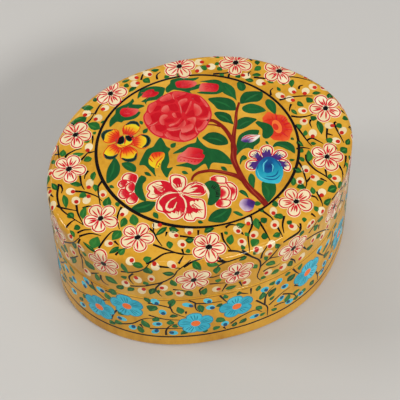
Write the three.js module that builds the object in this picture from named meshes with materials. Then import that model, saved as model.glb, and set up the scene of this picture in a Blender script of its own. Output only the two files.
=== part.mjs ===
// An oval lidded box of papier-mache, in millimetres, with +Z up.
// The box stands on the plane z = 0, centred on the origin, with its long axis along X.
// A floor board carries the base wall and an inner collar. The lid is a wall under a crowned
// top board, and it lifts straight up off the collar.
import * as THREE from "three";

// Overall size of the oval and of the two halves
const LENGTH = 127;
const WIDTH = 101.6;
const BASE_HEIGHT = 38;
const LID_HEIGHT = 26;

// Thicknesses of the boards and of the wound paper walls
const FLOOR_THICKNESS = 3.5;
const TOP_THICKNESS = 3.6;
const BASE_WALL = 3;
const COLLAR_WALL = 2;

// The collar stands above the base wall and guides the lid
const COLLAR_STAND = 7;
const GLUE_GAP = 0.3;
const LID_CLEARANCE = 0.35;

// The lid's top swells by this much from its shoulder to its middle
const CROWN = 1;

// Edge roundings, and how much of a board's or wall's thickness stays unrounded
const RIM_RADIUS = 2.9;
const FOOT_RADIUS = 1.5;
const BASE_EDGE_RADIUS = 1;
const LID_EDGE_RADIUS = 0.6;
const COLLAR_EDGE_RADIUS = 0.7;
const LEAST_FLAT = 0.4;

// The oval is shaped by hand, so it swells by a fraction of a millimetre in a few lobes.
// Each swell has its height, its number of lobes and the angle in degrees where it is highest.
const SWELLS = [
  { height: 0.4, lobes: 3, peak: -24 },
  { height: 0.4, lobes: 4, peak: 15 },
  { height: 0.25, lobes: 5, peak: -5 },
  { height: 0.3, lobes: 6, peak: 0 },
];

// Steps round the oval, round an edge, and across the crown
const OVAL_STEPS = 96;
const EDGE_STEPS = 3;
const RIM_STEPS = 5;
const CROWN_STEPS = 4;

// A profile is turned round a circle of this radius, which toOval then presses to the oval
const ROUND_RADIUS = (LENGTH + WIDTH) / 4;

// Heights and insets that follow from the sizes above
const COLLAR_TOP = BASE_HEIGHT + COLLAR_STAND;
const SHOULDER = BASE_HEIGHT + LID_HEIGHT - CROWN;
const TOP_UNDERSIDE = SHOULDER - TOP_THICKNESS;
const COLLAR_OUTSIDE = BASE_WALL + GLUE_GAP;
const COLLAR_INSIDE = COLLAR_OUTSIDE + COLLAR_WALL;
const LID_WALL = COLLAR_OUTSIDE - LID_CLEARANCE;

// The point of the hand-shaped oval at an angle, moved inwards by an inset
function swollenPoint(angle, inset) {
  const cos = Math.cos(angle);
  const sin = Math.sin(angle);
  const normal = new THREE.Vector2(WIDTH * cos, LENGTH * sin).normalize();
  let swell = 0;
  for (const { height, lobes, peak } of SWELLS) {
    swell += height * Math.cos(lobes * (angle - THREE.MathUtils.degToRad(peak)));
  }
  return new THREE.Vector2((LENGTH / 2) * cos, (WIDTH / 2) * sin).addScaledVector(normal, swell - inset);
}

// The swells move the middle of the oval a little, so it is moved back to the origin
const OVAL_MIDDLE = new THREE.Box2()
  .setFromPoints(Array.from({ length: OVAL_STEPS }, (_, i) => swollenPoint((2 * Math.PI * i) / OVAL_STEPS, 0)))
  .getCenter(new THREE.Vector2());

// Moves every vertex of a round turning to its place on the oval. Rings no deeper than the
// collar are offset from the oval, and rings further in are scaled down to its middle.
function toOval(geometry) {
  const position = geometry.getAttribute("position");
  for (let i = 0; i < position.count; i++) {
    const radius = Math.hypot(position.getX(i), position.getY(i));
    const angle = Math.atan2(position.getY(i), position.getX(i));
    const inset = ROUND_RADIUS - radius;
    const point = swollenPoint(angle, Math.min(inset, COLLAR_INSIDE)).sub(OVAL_MIDDLE);
    if (inset > COLLAR_INSIDE) {
      point.multiplyScalar(radius / (ROUND_RADIUS - COLLAR_INSIDE));
    }
    position.setXY(i, point.x, point.y);
  }
  return geometry;
}

// A profile point, given by its inset from the outside of the box and its height
function at(inset, height) {
  return new THREE.Vector2(ROUND_RADIUS - inset, height);
}

// A quarter round about a centre, from one angle to the next quarter, in degrees
function quarterRound(inset, height, radius, startDegrees, steps) {
  const points = [];
  for (let i = 0; i <= steps; i++) {
    const angle = THREE.MathUtils.degToRad(startDegrees + (90 * i) / steps);
    points.push(at(inset - radius * Math.cos(angle), height + radius * Math.sin(angle)));
  }
  return points;
}

// Turns a profile round the Z axis, presses it to the oval and names the piece
function turnedPiece(name, profile, material) {
  const geometry = new THREE.LatheGeometry(profile, OVAL_STEPS).rotateX(Math.PI / 2);
  const piece = new THREE.Mesh(toOval(geometry), material);
  piece.name = name;
  return piece;
}

// The floor is a solid oval board with its lower edge rounded
function floorProfile() {
  const radius = Math.min(FOOT_RADIUS, FLOOR_THICKNESS - LEAST_FLAT);
  return [
    new THREE.Vector2(0, 0),
    ...quarterRound(radius, radius, radius, -90, EDGE_STEPS),
    at(0, FLOOR_THICKNESS),
    new THREE.Vector2(0, FLOOR_THICKNESS),
  ];
}

// The base wall stands on the floor, with the outer edge at the seam softened
function baseWallProfile() {
  const radius = Math.min(BASE_EDGE_RADIUS, BASE_WALL - LEAST_FLAT);
  return [
    at(0, FLOOR_THICKNESS),
    ...quarterRound(radius, BASE_HEIGHT - radius, radius, 0, EDGE_STEPS),
    at(BASE_WALL, BASE_HEIGHT),
    at(BASE_WALL, FLOOR_THICKNESS),
    at(0, FLOOR_THICKNESS),
  ];
}

// The collar is glued inside the base wall, stands on the floor and ends in a rounded lip
function collarProfile() {
  const radius = Math.min(COLLAR_EDGE_RADIUS, (COLLAR_WALL - LEAST_FLAT) / 2);
  const lip = COLLAR_TOP - radius;
  return [
    at(COLLAR_OUTSIDE, FLOOR_THICKNESS),
    ...quarterRound(COLLAR_OUTSIDE + radius, lip, radius, 0, EDGE_STEPS),
    ...quarterRound(COLLAR_INSIDE - radius, lip, radius, 90, EDGE_STEPS),
    at(COLLAR_INSIDE, FLOOR_THICKNESS),
    at(COLLAR_OUTSIDE, FLOOR_THICKNESS),
  ];
}

// The lid wall rests on the base wall, with its own softened edge at the seam
function lidWallProfile() {
  const radius = Math.min(LID_EDGE_RADIUS, LID_WALL - LEAST_FLAT);
  return [
    ...quarterRound(radius, BASE_HEIGHT + radius, radius, -90, EDGE_STEPS),
    at(0, TOP_UNDERSIDE),
    at(LID_WALL, TOP_UNDERSIDE),
    at(LID_WALL, BASE_HEIGHT),
    at(radius, BASE_HEIGHT),
  ];
}

// The lid's top is a board with a rounded rim and a slight crown
function lidTopProfile() {
  const radius = Math.min(RIM_RADIUS, TOP_THICKNESS - LEAST_FLAT);
  const crownRadius = ROUND_RADIUS - radius;
  const profile = [
    new THREE.Vector2(0, TOP_UNDERSIDE),
    at(0, TOP_UNDERSIDE),
    ...quarterRound(radius, SHOULDER - radius, radius, 0, RIM_STEPS),
  ];
  for (let i = 1; i <= CROWN_STEPS; i++) {
    const share = 1 - i / CROWN_STEPS;
    profile.push(new THREE.Vector2(crownRadius * share, SHOULDER + CROWN * (1 - share * share)));
  }
  return profile;
}

// Ochre gouache under clear lacquer outside, and dark lacquer inside
const outsideLacquer = new THREE.MeshStandardMaterial({ color: "#d9a035", roughness: 0.28, metalness: 0 });
const insideLacquer = new THREE.MeshStandardMaterial({ color: "#1d1614", roughness: 0.4, metalness: 0 });

const base = new THREE.Group();
base.add(turnedPiece("base_floor", floorProfile(), outsideLacquer));
base.add(turnedPiece("base_wall", baseWallProfile(), outsideLacquer));
base.add(turnedPiece("inner_collar", collarProfile(), insideLacquer));

const lid = new THREE.Group();
lid.add(turnedPiece("lid_wall", lidWallProfile(), outsideLacquer));
lid.add(turnedPiece("lid_top", lidTopProfile(), outsideLacquer));

const box = new THREE.Group();
box.add(base);
box.add(lid);

export default box;
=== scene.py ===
# %% [markdown]
# # A painted and lacquered papier-mache box
# The box is an oval shell of pasted paper with a lid that lifts off. Everything that makes it
# handsome is paint: a golden ochre ground, a branch of flowers in a black oval on the lid, a
# meadow of cream blossoms and red berries round it, and a band of turquoise flowers on the base.
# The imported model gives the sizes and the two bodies, so this lesson starts by loading it.

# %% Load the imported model
import math
import random

import bmesh
import bpy
import numpy as np
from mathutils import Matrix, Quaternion, Vector


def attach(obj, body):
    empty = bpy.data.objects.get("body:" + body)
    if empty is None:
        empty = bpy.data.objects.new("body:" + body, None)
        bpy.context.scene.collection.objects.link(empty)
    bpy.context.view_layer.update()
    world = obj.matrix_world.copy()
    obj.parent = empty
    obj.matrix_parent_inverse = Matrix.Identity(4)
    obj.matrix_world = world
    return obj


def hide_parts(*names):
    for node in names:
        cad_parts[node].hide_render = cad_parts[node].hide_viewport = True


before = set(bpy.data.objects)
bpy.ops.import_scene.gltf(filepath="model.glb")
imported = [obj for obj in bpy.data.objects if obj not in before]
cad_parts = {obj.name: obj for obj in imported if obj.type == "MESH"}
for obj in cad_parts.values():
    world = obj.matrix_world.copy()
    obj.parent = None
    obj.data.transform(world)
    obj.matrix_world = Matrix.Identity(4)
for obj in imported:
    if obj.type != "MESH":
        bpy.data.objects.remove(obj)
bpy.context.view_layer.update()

# %% [markdown]
# The sizes are repeated here in millimetres, as a maker would write them on the mould. The oval
# is shaped by hand, so its outline swells by a fraction of a millimetre in a few soft lobes.

# %% Sizes of the box in millimetres
MM = 0.001
LENGTH = 127
WIDTH = 101.6
SEAM = 38
SHOULDER = 63
TOP_UNDERSIDE = 59.4
CROWN = 1
RIM_RADIUS = 2.9
FLOOR_THICKNESS = 3.5
FOOT_RADIUS = 1.5
BASE_WALL = 3
BASE_EDGE_RADIUS = 1
COLLAR_OUTSIDE = 3.3
COLLAR_INSIDE = 5.3
COLLAR_TOP = 45
COLLAR_EDGE_RADIUS = 0.7
LID_WALL = 2.95
LID_EDGE_RADIUS = 0.6
ROUND_RADIUS = (LENGTH + WIDTH) / 4
# Each swell has its height, its number of lobes and the angle in degrees where it is highest.
SWELLS = [(0.4, 3, -24), (0.4, 4, 15), (0.25, 5, -5), (0.3, 6, 0)]
OVAL_STEPS = 96
random_marks = random.Random(11)
print("the round mould has a radius of", ROUND_RADIUS, "mm")

# %% [markdown]
# ## Camera
# The box is seen from well above, with its long axis turned 20 degrees from the picture's
# horizontal. A long lens keeps the oval calm. The camera hangs at its place, looks at the middle
# of the box, and leans over by a degree and a half. EYE_DISTANCE is in millimetres.

# %% Camera
EYE_DISTANCE = 716.7
EYE_HEIGHT_ANGLE = math.radians(57.2)
EYE_TURN = math.radians(-20)
LENS = 148.3
LEAN = -0.026
LOOK_AT = Vector((-0.0006, -0.0002, 0.0311))

across = math.cos(EYE_HEIGHT_ANGLE)
eye = Vector((math.sin(EYE_TURN) * across, -math.cos(EYE_TURN) * across, math.sin(EYE_HEIGHT_ANGLE)))
eye = eye * EYE_DISTANCE * MM
bpy.ops.object.camera_add(location=eye)
camera = bpy.context.object
camera.data.lens = LENS
camera.rotation_mode = "QUATERNION"
aim = (LOOK_AT - eye).to_track_quat("-Z", "Y")
camera.rotation_quaternion = aim @ Quaternion((0, 0, 1), LEAN)
bpy.context.scene.camera = camera
bpy.context.scene.view_settings.view_transform = "Standard"
print("camera at", [round(place, 3) for place in eye])

# %% [markdown]
# ## Small helpers for modelling
# Operators act on all that is selected, so each step first clears the selection. Points are then
# picked by their place, as one would with the mouse.

# %% Selecting and reading meshes
def start_clean():
    """Leaves edit mode and deselects everything."""
    if bpy.context.object and bpy.context.object.mode != "OBJECT":
        bpy.ops.object.mode_set(mode="OBJECT")
    bpy.ops.object.select_all(action="DESELECT")


def pick_points(piece, wanted):
    """In edit mode, selects the points whose place in millimetres is wanted."""
    bpy.ops.mesh.select_mode(type="VERT")
    bpy.ops.mesh.select_all(action="DESELECT")
    shape = bmesh.from_edit_mesh(piece.data)
    for point in shape.verts:
        point.select = wanted(point.co / MM)
    shape.select_flush_mode()
    bmesh.update_edit_mesh(piece.data)


def face_outwards():
    """Turns all faces of the mesh outwards and leaves edit mode."""
    bpy.ops.mesh.select_all(action="SELECT")
    bpy.ops.mesh.normals_make_consistent(inside=False)
    bpy.ops.object.mode_set(mode="OBJECT")


def bring_in(name, data):
    """Makes an object of a mesh or a curve, and selects it alone."""
    start_clean()
    piece = bpy.data.objects.new(name, data)
    bpy.context.scene.collection.objects.link(piece)
    bpy.context.view_layer.objects.active = piece
    piece.select_set(True)
    return piece


def points_of(mesh):
    """The places of a mesh's points, as rows of three numbers."""
    places = np.zeros(len(mesh.vertices) * 3)
    mesh.vertices.foreach_get("co", places)
    return places.reshape(-1, 3)


def move_points(mesh, places):
    """Puts a mesh's points at new places."""
    mesh.vertices.foreach_set("co", np.asarray(places, np.float32).ravel())
    mesh.update()


# %% [markdown]
# ## The hand-shaped oval
# Every shell and every brush mark has to lie on the same oval, so it is written once. A point of
# the oval is found from its angle and from how far inside the edge it lies.

# %% The oval
def swell(angle):
    """How far the hand-shaped edge stands out from a true ellipse at an angle."""
    return sum(height * np.cos(lobes * (angle - math.radians(peak))) for height, lobes, peak in SWELLS)


def raw_oval(angle, inset):
    """A point of the oval before it is centred."""
    cos = np.cos(angle)
    sin = np.sin(angle)
    size = np.hypot(WIDTH * cos, LENGTH * sin)
    out = swell(angle) - inset
    return LENGTH / 2 * cos + out * WIDTH * cos / size, WIDTH / 2 * sin + out * LENGTH * sin / size


ring_x, ring_y = raw_oval(np.arange(OVAL_STEPS) * 2 * math.pi / OVAL_STEPS, 0)
MIDDLE_X = (ring_x.max() + ring_x.min()) / 2
MIDDLE_Y = (ring_y.max() + ring_y.min()) / 2


def oval(angle, inset):
    """A point of the centred oval, moved inwards from the edge by an inset."""
    x, y = raw_oval(angle, inset)
    return x - MIDDLE_X, y - MIDDLE_Y


def press_to_oval(piece, depth):
    """Moves a round turning to the oval. Rings deeper than depth are scaled to the middle."""
    places = points_of(piece.data) / MM
    radius = np.hypot(places[:, 0], places[:, 1])
    angle = np.arctan2(places[:, 1], places[:, 0])
    inset = ROUND_RADIUS - radius
    x, y = oval(angle, np.minimum(inset, depth))
    share = np.where(inset > depth, radius / (ROUND_RADIUS - depth), 1)
    move_points(piece.data, np.stack([x * share, y * share, places[:, 2]], 1) * MM)


print("the oval's middle was at", round(MIDDLE_X, 2), round(MIDDLE_Y, 2), "mm before centring")

# %% [markdown]
# ## The lacquered ground
# The real box is brushed with ochre gouache, rubbed smooth and given many coats of clear lacquer.
# A thin clear coat over a matt colour gives the same look: the colour varies in soft clouds and
# fine brush streaks, and the coat on top wavers a little, as hand-rubbed lacquer does.

# %% Helpers for materials
def colour(code):
    """A colour written as in a paint list, made linear for the shader."""
    parts = [int(code[i:i + 2], 16) / 255 for i in (1, 3, 5)]
    return [p / 12.92 if p <= 0.04045 else ((p + 0.055) / 1.055) ** 2.4 for p in parts] + [1]


def new_finish(name):
    """A fresh material, its nodes, its links and its main shader."""
    finish = bpy.data.materials.new(name)
    finish.use_nodes = True
    nodes = finish.node_tree.nodes
    return finish, nodes, finish.node_tree.links, nodes["Principled BSDF"]


def add_noise(nodes, links, where, scale, detail, stretch=(1, 1, 1)):
    """Noise on the piece's own coordinates, stretched where brush hairs have dragged it."""
    mapping = nodes.new("ShaderNodeMapping")
    mapping.inputs["Scale"].default_value = stretch
    links.new(where.outputs["Object"], mapping.inputs["Vector"])
    noise = nodes.new("ShaderNodeTexNoise")
    noise.inputs["Scale"].default_value = scale
    noise.inputs["Detail"].default_value = detail
    links.new(mapping.outputs["Vector"], noise.inputs["Vector"])
    return noise


def add_ramp(nodes, stops):
    """A colour ramp from (position, colour) pairs."""
    ramp = nodes.new("ShaderNodeValToRGB")
    while len(ramp.color_ramp.elements) < len(stops):
        ramp.color_ramp.elements.new(0.5)
    for element, (position, code) in zip(ramp.color_ramp.elements, stops):
        element.position = position
        element.color = colour(code)
    return ramp


def add_bump(nodes, links, height, strength, distance):
    """A bump that follows the noise given as height. The distance is in metres."""
    bump = nodes.new("ShaderNodeBump")
    bump.inputs["Strength"].default_value = strength
    bump.inputs["Distance"].default_value = distance
    links.new(height.outputs["Fac"], bump.inputs["Height"])
    return bump


def add_clear_lacquer(nodes, links, shader, where, roughness):
    """A clear coat whose surface wavers gently over a fine brushed grain."""
    wave_noise = add_noise(nodes, links, where, scale=70, detail=1)
    grain_noise = add_noise(nodes, links, where, scale=1400, detail=2)
    waves = add_bump(nodes, links, wave_noise, strength=0.5, distance=0.0003)
    grain = add_bump(nodes, links, grain_noise, strength=0.35, distance=0.00002)
    links.new(waves.outputs["Normal"], grain.inputs["Normal"])
    links.new(grain.outputs["Normal"], shader.inputs["Normal"])
    links.new(waves.outputs["Normal"], shader.inputs["Coat Normal"])
    shader.inputs["Roughness"].default_value = roughness
    shader.inputs["Specular IOR Level"].default_value = 0.0
    shader.inputs["Coat Weight"].default_value = 0.68
    shader.inputs["Coat Roughness"].default_value = 0.05
    shader.inputs["Coat IOR"].default_value = 1.36


# %% Ochre ground and dark inside
def ochre_ground():
    """Golden ochre gouache under clear lacquer."""
    finish, nodes, links, shader = new_finish("ochre_ground")
    where = nodes.new("ShaderNodeTexCoord")
    clouds = add_noise(nodes, links, where, scale=45, detail=3)
    streaks = add_noise(nodes, links, where, scale=420, detail=4, stretch=(1, 1, 0.25))
    blend = nodes.new("ShaderNodeMath")
    blend.operation = "MULTIPLY_ADD"
    blend.inputs[1].default_value = 0.45
    links.new(streaks.outputs["Fac"], blend.inputs[0])
    links.new(clouds.outputs["Fac"], blend.inputs[2])
    ramp = add_ramp(nodes, [(0.45, "#b87e1d"), (0.72, "#d2992c"), (1, "#e0ab40")])
    links.new(blend.outputs["Value"], ramp.inputs["Fac"])
    specks = add_noise(nodes, links, where, scale=900, detail=1)
    speck_ramp = add_ramp(nodes, [(0.7, "#ffffff"), (0.8, "#c89a5a")])
    links.new(specks.outputs["Fac"], speck_ramp.inputs["Fac"])
    tone = nodes.new("ShaderNodeMix")
    tone.data_type = "RGBA"
    tone.blend_type = "MULTIPLY"
    tone.inputs["Factor"].default_value = 0.5
    links.new(ramp.outputs["Color"], tone.inputs["A"])
    links.new(speck_ramp.outputs["Color"], tone.inputs["B"])
    links.new(tone.outputs["Result"], shader.inputs["Base Color"])
    add_clear_lacquer(nodes, links, shader, where, roughness=0.5)
    return finish


def dark_lacquer():
    """The dark satin lacquer that lines the box."""
    finish, nodes, links, shader = new_finish("dark_lacquer")
    where = nodes.new("ShaderNodeTexCoord")
    streaks = add_noise(nodes, links, where, scale=260, detail=4, stretch=(0.3, 0.3, 1))
    ramp = add_ramp(nodes, [(0.3, "#120c0b"), (0.7, "#2a1d18")])
    links.new(streaks.outputs["Fac"], ramp.inputs["Fac"])
    links.new(ramp.outputs["Color"], shader.inputs["Base Color"])
    add_clear_lacquer(nodes, links, shader, where, roughness=0.45)
    shader.inputs["Coat Weight"].default_value = 0.5
    shader.inputs["Coat Roughness"].default_value = 0.2
    return finish


OCHRE = ochre_ground()
DARK = dark_lacquer()
print("finishes", OCHRE.name, DARK.name)

# %% [markdown]
# ## The five shells
# Each shell could be an extruded outline, but papier-mache is wound on a mould, so it is turned
# instead: an upright rectangle gets its worn, rounded corners by bevelling points, its edges are
# spun round the middle, and the round turning is pressed to the oval. The boards at the top and
# the bottom reach the middle, so their rectangle starts there and loses the edge on the axis.

# %% Turning a shell
TURN_STEPS = 360
NEAR = 0.01
SMOOTH_BELOW = math.radians(35)


def turned_shell(name, inner_inset, outer_inset, low, high, roundings, crown_rings=0):
    """Spins a rounded rectangle round the middle. Its sides are given by their insets."""
    start_clean()
    bpy.ops.mesh.primitive_plane_add(size=1, location=(0.5, 0, 0.5), rotation=(math.pi / 2, 0, 0))
    piece = bpy.context.object
    piece.name = name
    piece.data.name = name
    bpy.ops.object.transform_apply(location=True, rotation=True, scale=True)
    bpy.ops.object.mode_set(mode="EDIT")
    bpy.ops.mesh.select_all(action="SELECT")
    inner = ROUND_RADIUS - inner_inset
    outer = ROUND_RADIUS - outer_inset
    size = ((outer - inner) * MM, 1, (high - low) * MM)
    bpy.ops.transform.resize(value=size, center_override=(0, 0, 0))
    bpy.ops.transform.translate(value=(inner * MM, 0, low * MM))
    for inset, z, radius, steps in roundings:
        x = ROUND_RADIUS - inset
        pick_points(piece, lambda at: abs(at.x - x) < NEAR and abs(at.z - z) < NEAR)
        bpy.ops.mesh.bevel(affect="VERTICES", offset=radius * MM, segments=steps, profile=0.5)
    bpy.ops.mesh.select_all(action="SELECT")
    bpy.ops.mesh.delete(type="ONLY_FACE")
    if inner == 0:
        pick_points(piece, lambda at: at.x < NEAR)
        bpy.ops.mesh.delete(type="EDGE")
    if crown_rings:
        pick_points(piece, lambda at: at.z > high - NEAR)
        bpy.ops.mesh.subdivide(number_cuts=crown_rings)
        reach = outer - RIM_RADIUS
        shape = bmesh.from_edit_mesh(piece.data)
        for point in shape.verts:
            if point.co.z / MM > high - NEAR:
                point.co.z += CROWN * MM * (1 - (point.co.x / MM / reach) ** 2)
        bmesh.update_edit_mesh(piece.data)
    bpy.ops.mesh.select_all(action="SELECT")
    bpy.ops.mesh.spin(steps=TURN_STEPS, angle=2 * math.pi, center=(0, 0, 0), axis=(0, 0, 1))
    bpy.ops.mesh.select_all(action="SELECT")
    bpy.ops.mesh.remove_doubles(threshold=0.000001)
    face_outwards()
    return piece


def finish_shell(piece, node, body, is_dark, depth=COLLAR_INSIDE):
    """Presses a turning to the oval, gives its faces their finish and seats it on its body."""
    press_to_oval(piece, depth)
    piece.data.materials.append(OCHRE)
    piece.data.materials.append(DARK)
    for face in piece.data.polygons:
        outward = Vector((face.center.x, face.center.y, 0)).normalized().dot(face.normal)
        face.material_index = 1 if is_dark(outward, face.normal.z) else 0
    bpy.ops.object.shade_smooth_by_angle(angle=SMOOTH_BELOW)
    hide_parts(node)
    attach(piece, body)
    size = [round(side / MM, 1) for side in piece.dimensions]
    print(f"{piece.name}: {len(piece.data.polygons)} faces, {size} mm")


# %% Base: floor board, wall and collar
# A rounding has its inset, its height, its radius and its number of steps. A shell is dark where
# its faces look inwards or lie flat, up or down.
floor_board = turned_shell("floor_board", ROUND_RADIUS, 0, 0, FLOOR_THICKNESS, [(0, 0, FOOT_RADIUS, 6)])
finish_shell(floor_board, "base_floor", "base", lambda out, up: abs(up) > 0.99)

base_shell = turned_shell("base_shell", BASE_WALL, 0, FLOOR_THICKNESS, SEAM,
                          [(0, SEAM, BASE_EDGE_RADIUS, 5)])
finish_shell(base_shell, "base_wall", "base", lambda out, up: out < -0.5 or abs(up) > 0.9)

collar_ring = turned_shell("collar_ring", COLLAR_INSIDE, COLLAR_OUTSIDE, FLOOR_THICKNESS, COLLAR_TOP,
                           [(COLLAR_OUTSIDE, COLLAR_TOP, COLLAR_EDGE_RADIUS, 4),
                            (COLLAR_INSIDE, COLLAR_TOP, COLLAR_EDGE_RADIUS, 4)])
finish_shell(collar_ring, "inner_collar", "base", lambda out, up: True)

# %% Lid: wall and crowned top
lid_shell = turned_shell("lid_shell", LID_WALL, 0, SEAM, TOP_UNDERSIDE, [(0, SEAM, LID_EDGE_RADIUS, 4)])
# On the lid's wall the dark lacquer also covers the steeper downward faces of its rounded lower edge:
# painted shade along the seam.
finish_shell(lid_shell, "lid_wall", "lid", lambda out, up: out < -0.5 or abs(up) > 0.6)

lid_board = turned_shell("lid_board", ROUND_RADIUS, 0, TOP_UNDERSIDE, SHOULDER,
                         [(0, SHOULDER, RIM_RADIUS, 12)], crown_rings=15)
finish_shell(lid_board, "lid_top", "lid", lambda out, up: up < -0.9, depth=RIM_RADIUS)

# %% [markdown]
# ## From flat paper to the box
# A painter turns the box in the hand. Here the ornament is drawn flat, in millimetres, and then
# laid on the box. The top is a flat sheet with x and y. The walls are a strip that starts at the
# front: its first number runs round the box and its second runs up the wall, round the rim and
# on to the top. Both sheets agree at the rim, so a twig can run over it.

# %% Laying a flat drawing on the box
RIM_START = SHOULDER - RIM_RADIUS
RIM_END = RIM_START + RIM_RADIUS * math.pi / 2
FINE_STEPS = 7200
CORRECTIONS = 6
CORRECTED_SHARE = 0.9
fine_angle = np.linspace(-math.pi / 2, 1.5 * math.pi, FINE_STEPS + 1)
fine_x, fine_y = oval(fine_angle, 0)
run = np.concatenate([[0], np.cumsum(np.hypot(np.diff(fine_x), np.diff(fine_y)))])
ROUND_LENGTH = run[-1]
crown_x, crown_y = oval(fine_angle, RIM_RADIUS)
crown_turn = np.unwrap(np.arctan2(crown_y, crown_x))
crown_reach = np.hypot(crown_x, crown_y)


def crown_share(x, y):
    """0 at the middle of the top, 1 where the rim starts."""
    turn = np.arctan2(y, x)
    turn = np.where(turn < crown_turn[0], turn + 2 * math.pi, turn)
    return np.hypot(x, y) / np.interp(turn, crown_turn, crown_reach)


def on_profile(angle, climb, height):
    """A point at an angle and a climb up the wall and over the rim, raised off the surface."""
    bend = np.clip((climb - RIM_START) / RIM_RADIUS, 0, math.pi / 2)
    inset = RIM_RADIUS * (1 - np.cos(bend)) - height * np.cos(bend)
    inset = inset + np.maximum(climb - RIM_END, 0)
    x, y = oval(angle, inset)
    z = np.minimum(climb, RIM_START) + (RIM_RADIUS + height) * np.sin(bend)
    crowned = CROWN * (1 - np.minimum(crown_share(x, y), 1) ** 2)
    return x, y, z + np.where(climb > RIM_END, crowned, 0)


def on_wall(s, climb, height):
    """Lays the strip on the walls."""
    angle = np.interp(np.mod(s, ROUND_LENGTH), run, fine_angle)
    return on_profile(angle, climb, height)


def on_top(x, y, height):
    """Lays the sheet on the top, and bends what reaches past the crown round the rim.

    Near the rim, a few corrections find the angle at which the oval's edge lies straight outwards.
    """
    share = crown_share(x, y)
    half_long = LENGTH / 2
    half_wide = WIDTH / 2
    far_x = x + MIDDLE_X
    far_y = y + MIDDLE_Y
    angle = np.arctan2(far_y * half_long, far_x * half_wide)
    difference = half_long ** 2 - half_wide ** 2
    for _ in range(CORRECTIONS):
        cos = np.cos(angle)
        sin = np.sin(angle)
        miss = difference * sin * cos - far_x * half_long * sin + far_y * half_wide * cos
        slope = difference * (cos ** 2 - sin ** 2) - far_x * half_long * cos - far_y * half_wide * sin
        angle = angle - np.where(share > CORRECTED_SHARE, miss / slope, 0)
    cos = np.cos(angle)
    sin = np.sin(angle)
    size = np.hypot(WIDTH * cos, LENGTH * sin)
    away = ((far_x - half_long * cos) * WIDTH * cos + (far_y - half_wide * sin) * LENGTH * sin) / size
    inset = swell(angle) - away
    rim_x, rim_y, rim_z = on_profile(angle, RIM_END + np.minimum(inset - RIM_RADIUS, 0), height)
    flat = share <= 1
    z = SHOULDER + CROWN * (1 - np.minimum(share, 1) ** 2) + height
    return np.where(flat, x, rim_x), np.where(flat, y, rim_y), np.where(flat, z, rim_z)


print("one turn of the wall is", round(ROUND_LENGTH, 1), "mm")

# %% [markdown]
# ## Brush marks
# Each touch of the brush leaves a low pad of gouache. A flat patch of colour in the ground's
# material could show the same pattern, but real pads catch the light and lie over each other, so
# each one is a thin closed mesh. Three marks do most of the work: a round dab, a petal and a leaf.
# They are modelled once, as a disc that is extruded, inset for a soft edge and poked.

# %% Modelling the marks
LAYER = 0.02
SUNK = -0.05
PAD_SIDE = 0.6
PAD_TOP = 0.4
RIM_MARK_STEPS = 24
RIM_MARK_RINGS = (0.8, 0.74, 0.64, 0.47)


def take_shape(piece):
    """Reads a modelled mark's points and faces, and clears the object away."""
    places = points_of(piece.data)
    faces = [list(face.vertices) for face in piece.data.polygons]
    bpy.data.objects.remove(piece)
    return places, faces


def raise_pad(edge, rings):
    """In edit mode, turns a flat face into a low pad. Without rings its top is only cut up."""
    bpy.ops.mesh.select_all(action="SELECT")
    bpy.ops.mesh.extrude_region_move(TRANSFORM_OT_translate={"value": (0, 0, PAD_SIDE)})
    bpy.ops.mesh.inset(thickness=edge, depth=PAD_TOP)
    if rings is None:
        bpy.ops.mesh.quads_convert_to_tris(quad_method="BEAUTY", ngon_method="BEAUTY")
    else:
        for share in rings:
            bpy.ops.mesh.extrude_region_move(TRANSFORM_OT_translate={"value": (0, 0, 0)})
            bpy.ops.transform.resize(value=(share, share, 1))
        bpy.ops.mesh.poke()
    face_outwards()


def round_mark(steps, inner_rings):
    """A round dab, 2 across and 1 high."""
    start_clean()
    bpy.ops.mesh.primitive_circle_add(vertices=steps, radius=1, fill_type="NGON")
    piece = bpy.context.object
    bpy.ops.object.mode_set(mode="EDIT")
    raise_pad(0.03, inner_rings)
    return take_shape(piece)


def mark_pair(steps, inner_rings, across):
    """A mark for the flat and a finer one that can bend round the rim."""
    pair = []
    for places, faces in (round_mark(steps, inner_rings), round_mark(RIM_MARK_STEPS, RIM_MARK_RINGS)):
        places = places.copy()
        places[:, 1] = places[:, 1] * across(places[:, 0])
        pair.append((places, faces))
    return pair


def leaf_breadth(along):
    """Pointed at both ends and broader towards the stalk."""
    return np.sqrt(np.clip(1.04 - along ** 2, 0, 1)) * (1.08 - 0.3 * along)


DOT = mark_pair(10, (), np.ones_like)
BROAD_DOT = mark_pair(18, (0.55,), np.ones_like)
SMALL_LEAF = mark_pair(12, (), leaf_breadth)
BROAD_LEAF = mark_pair(24, (0.62,), leaf_breadth)
PETAL = mark_pair(16, (0.6,), lambda along: 0.8 + 0.3 * along - 0.1 * along ** 2)
print("a leaf mark has", len(SMALL_LEAF[0][1]), "faces, and a fine one", len(SMALL_LEAF[1][1]))

# %% [markdown]
# Marks of one colour on one body are gathered in one coat of paint, which becomes one piece. A
# mark is laid down at a level: higher levels lie over lower ones by two hundredths of a
# millimetre, as thick as gouache really is.

# %% Gathering marks into coats of paint
BEND_MIDDLE = 2
BEND_REACH = 6
BEND_SHARE = 0.87
coats = {}


def coat_named(name):
    """The coat of that name, begun if need be."""
    return coats.setdefault(name, {"points": [], "faces": [], "tints": [], "count": 0, "strokes": []})


def gather(name, places, faces, tint):
    """Adds a mark that already lies on the box to its coat."""
    coat = coat_named(name)
    first = coat["count"]
    coat["points"].append(places)
    coat["faces"].extend([[first + corner for corner in face] for face in faces])
    coat["tints"].append(np.broadcast_to(tint, len(places)))
    coat["count"] += len(places)


def by_the_rim(x, y, onto):
    """Whether a place on its sheet is so near the rim that a mark there has to bend."""
    if onto is on_wall:
        return abs(y - RIM_START - BEND_MIDDLE) < BEND_REACH
    return crown_share(x, y) > BEND_SHARE


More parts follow.
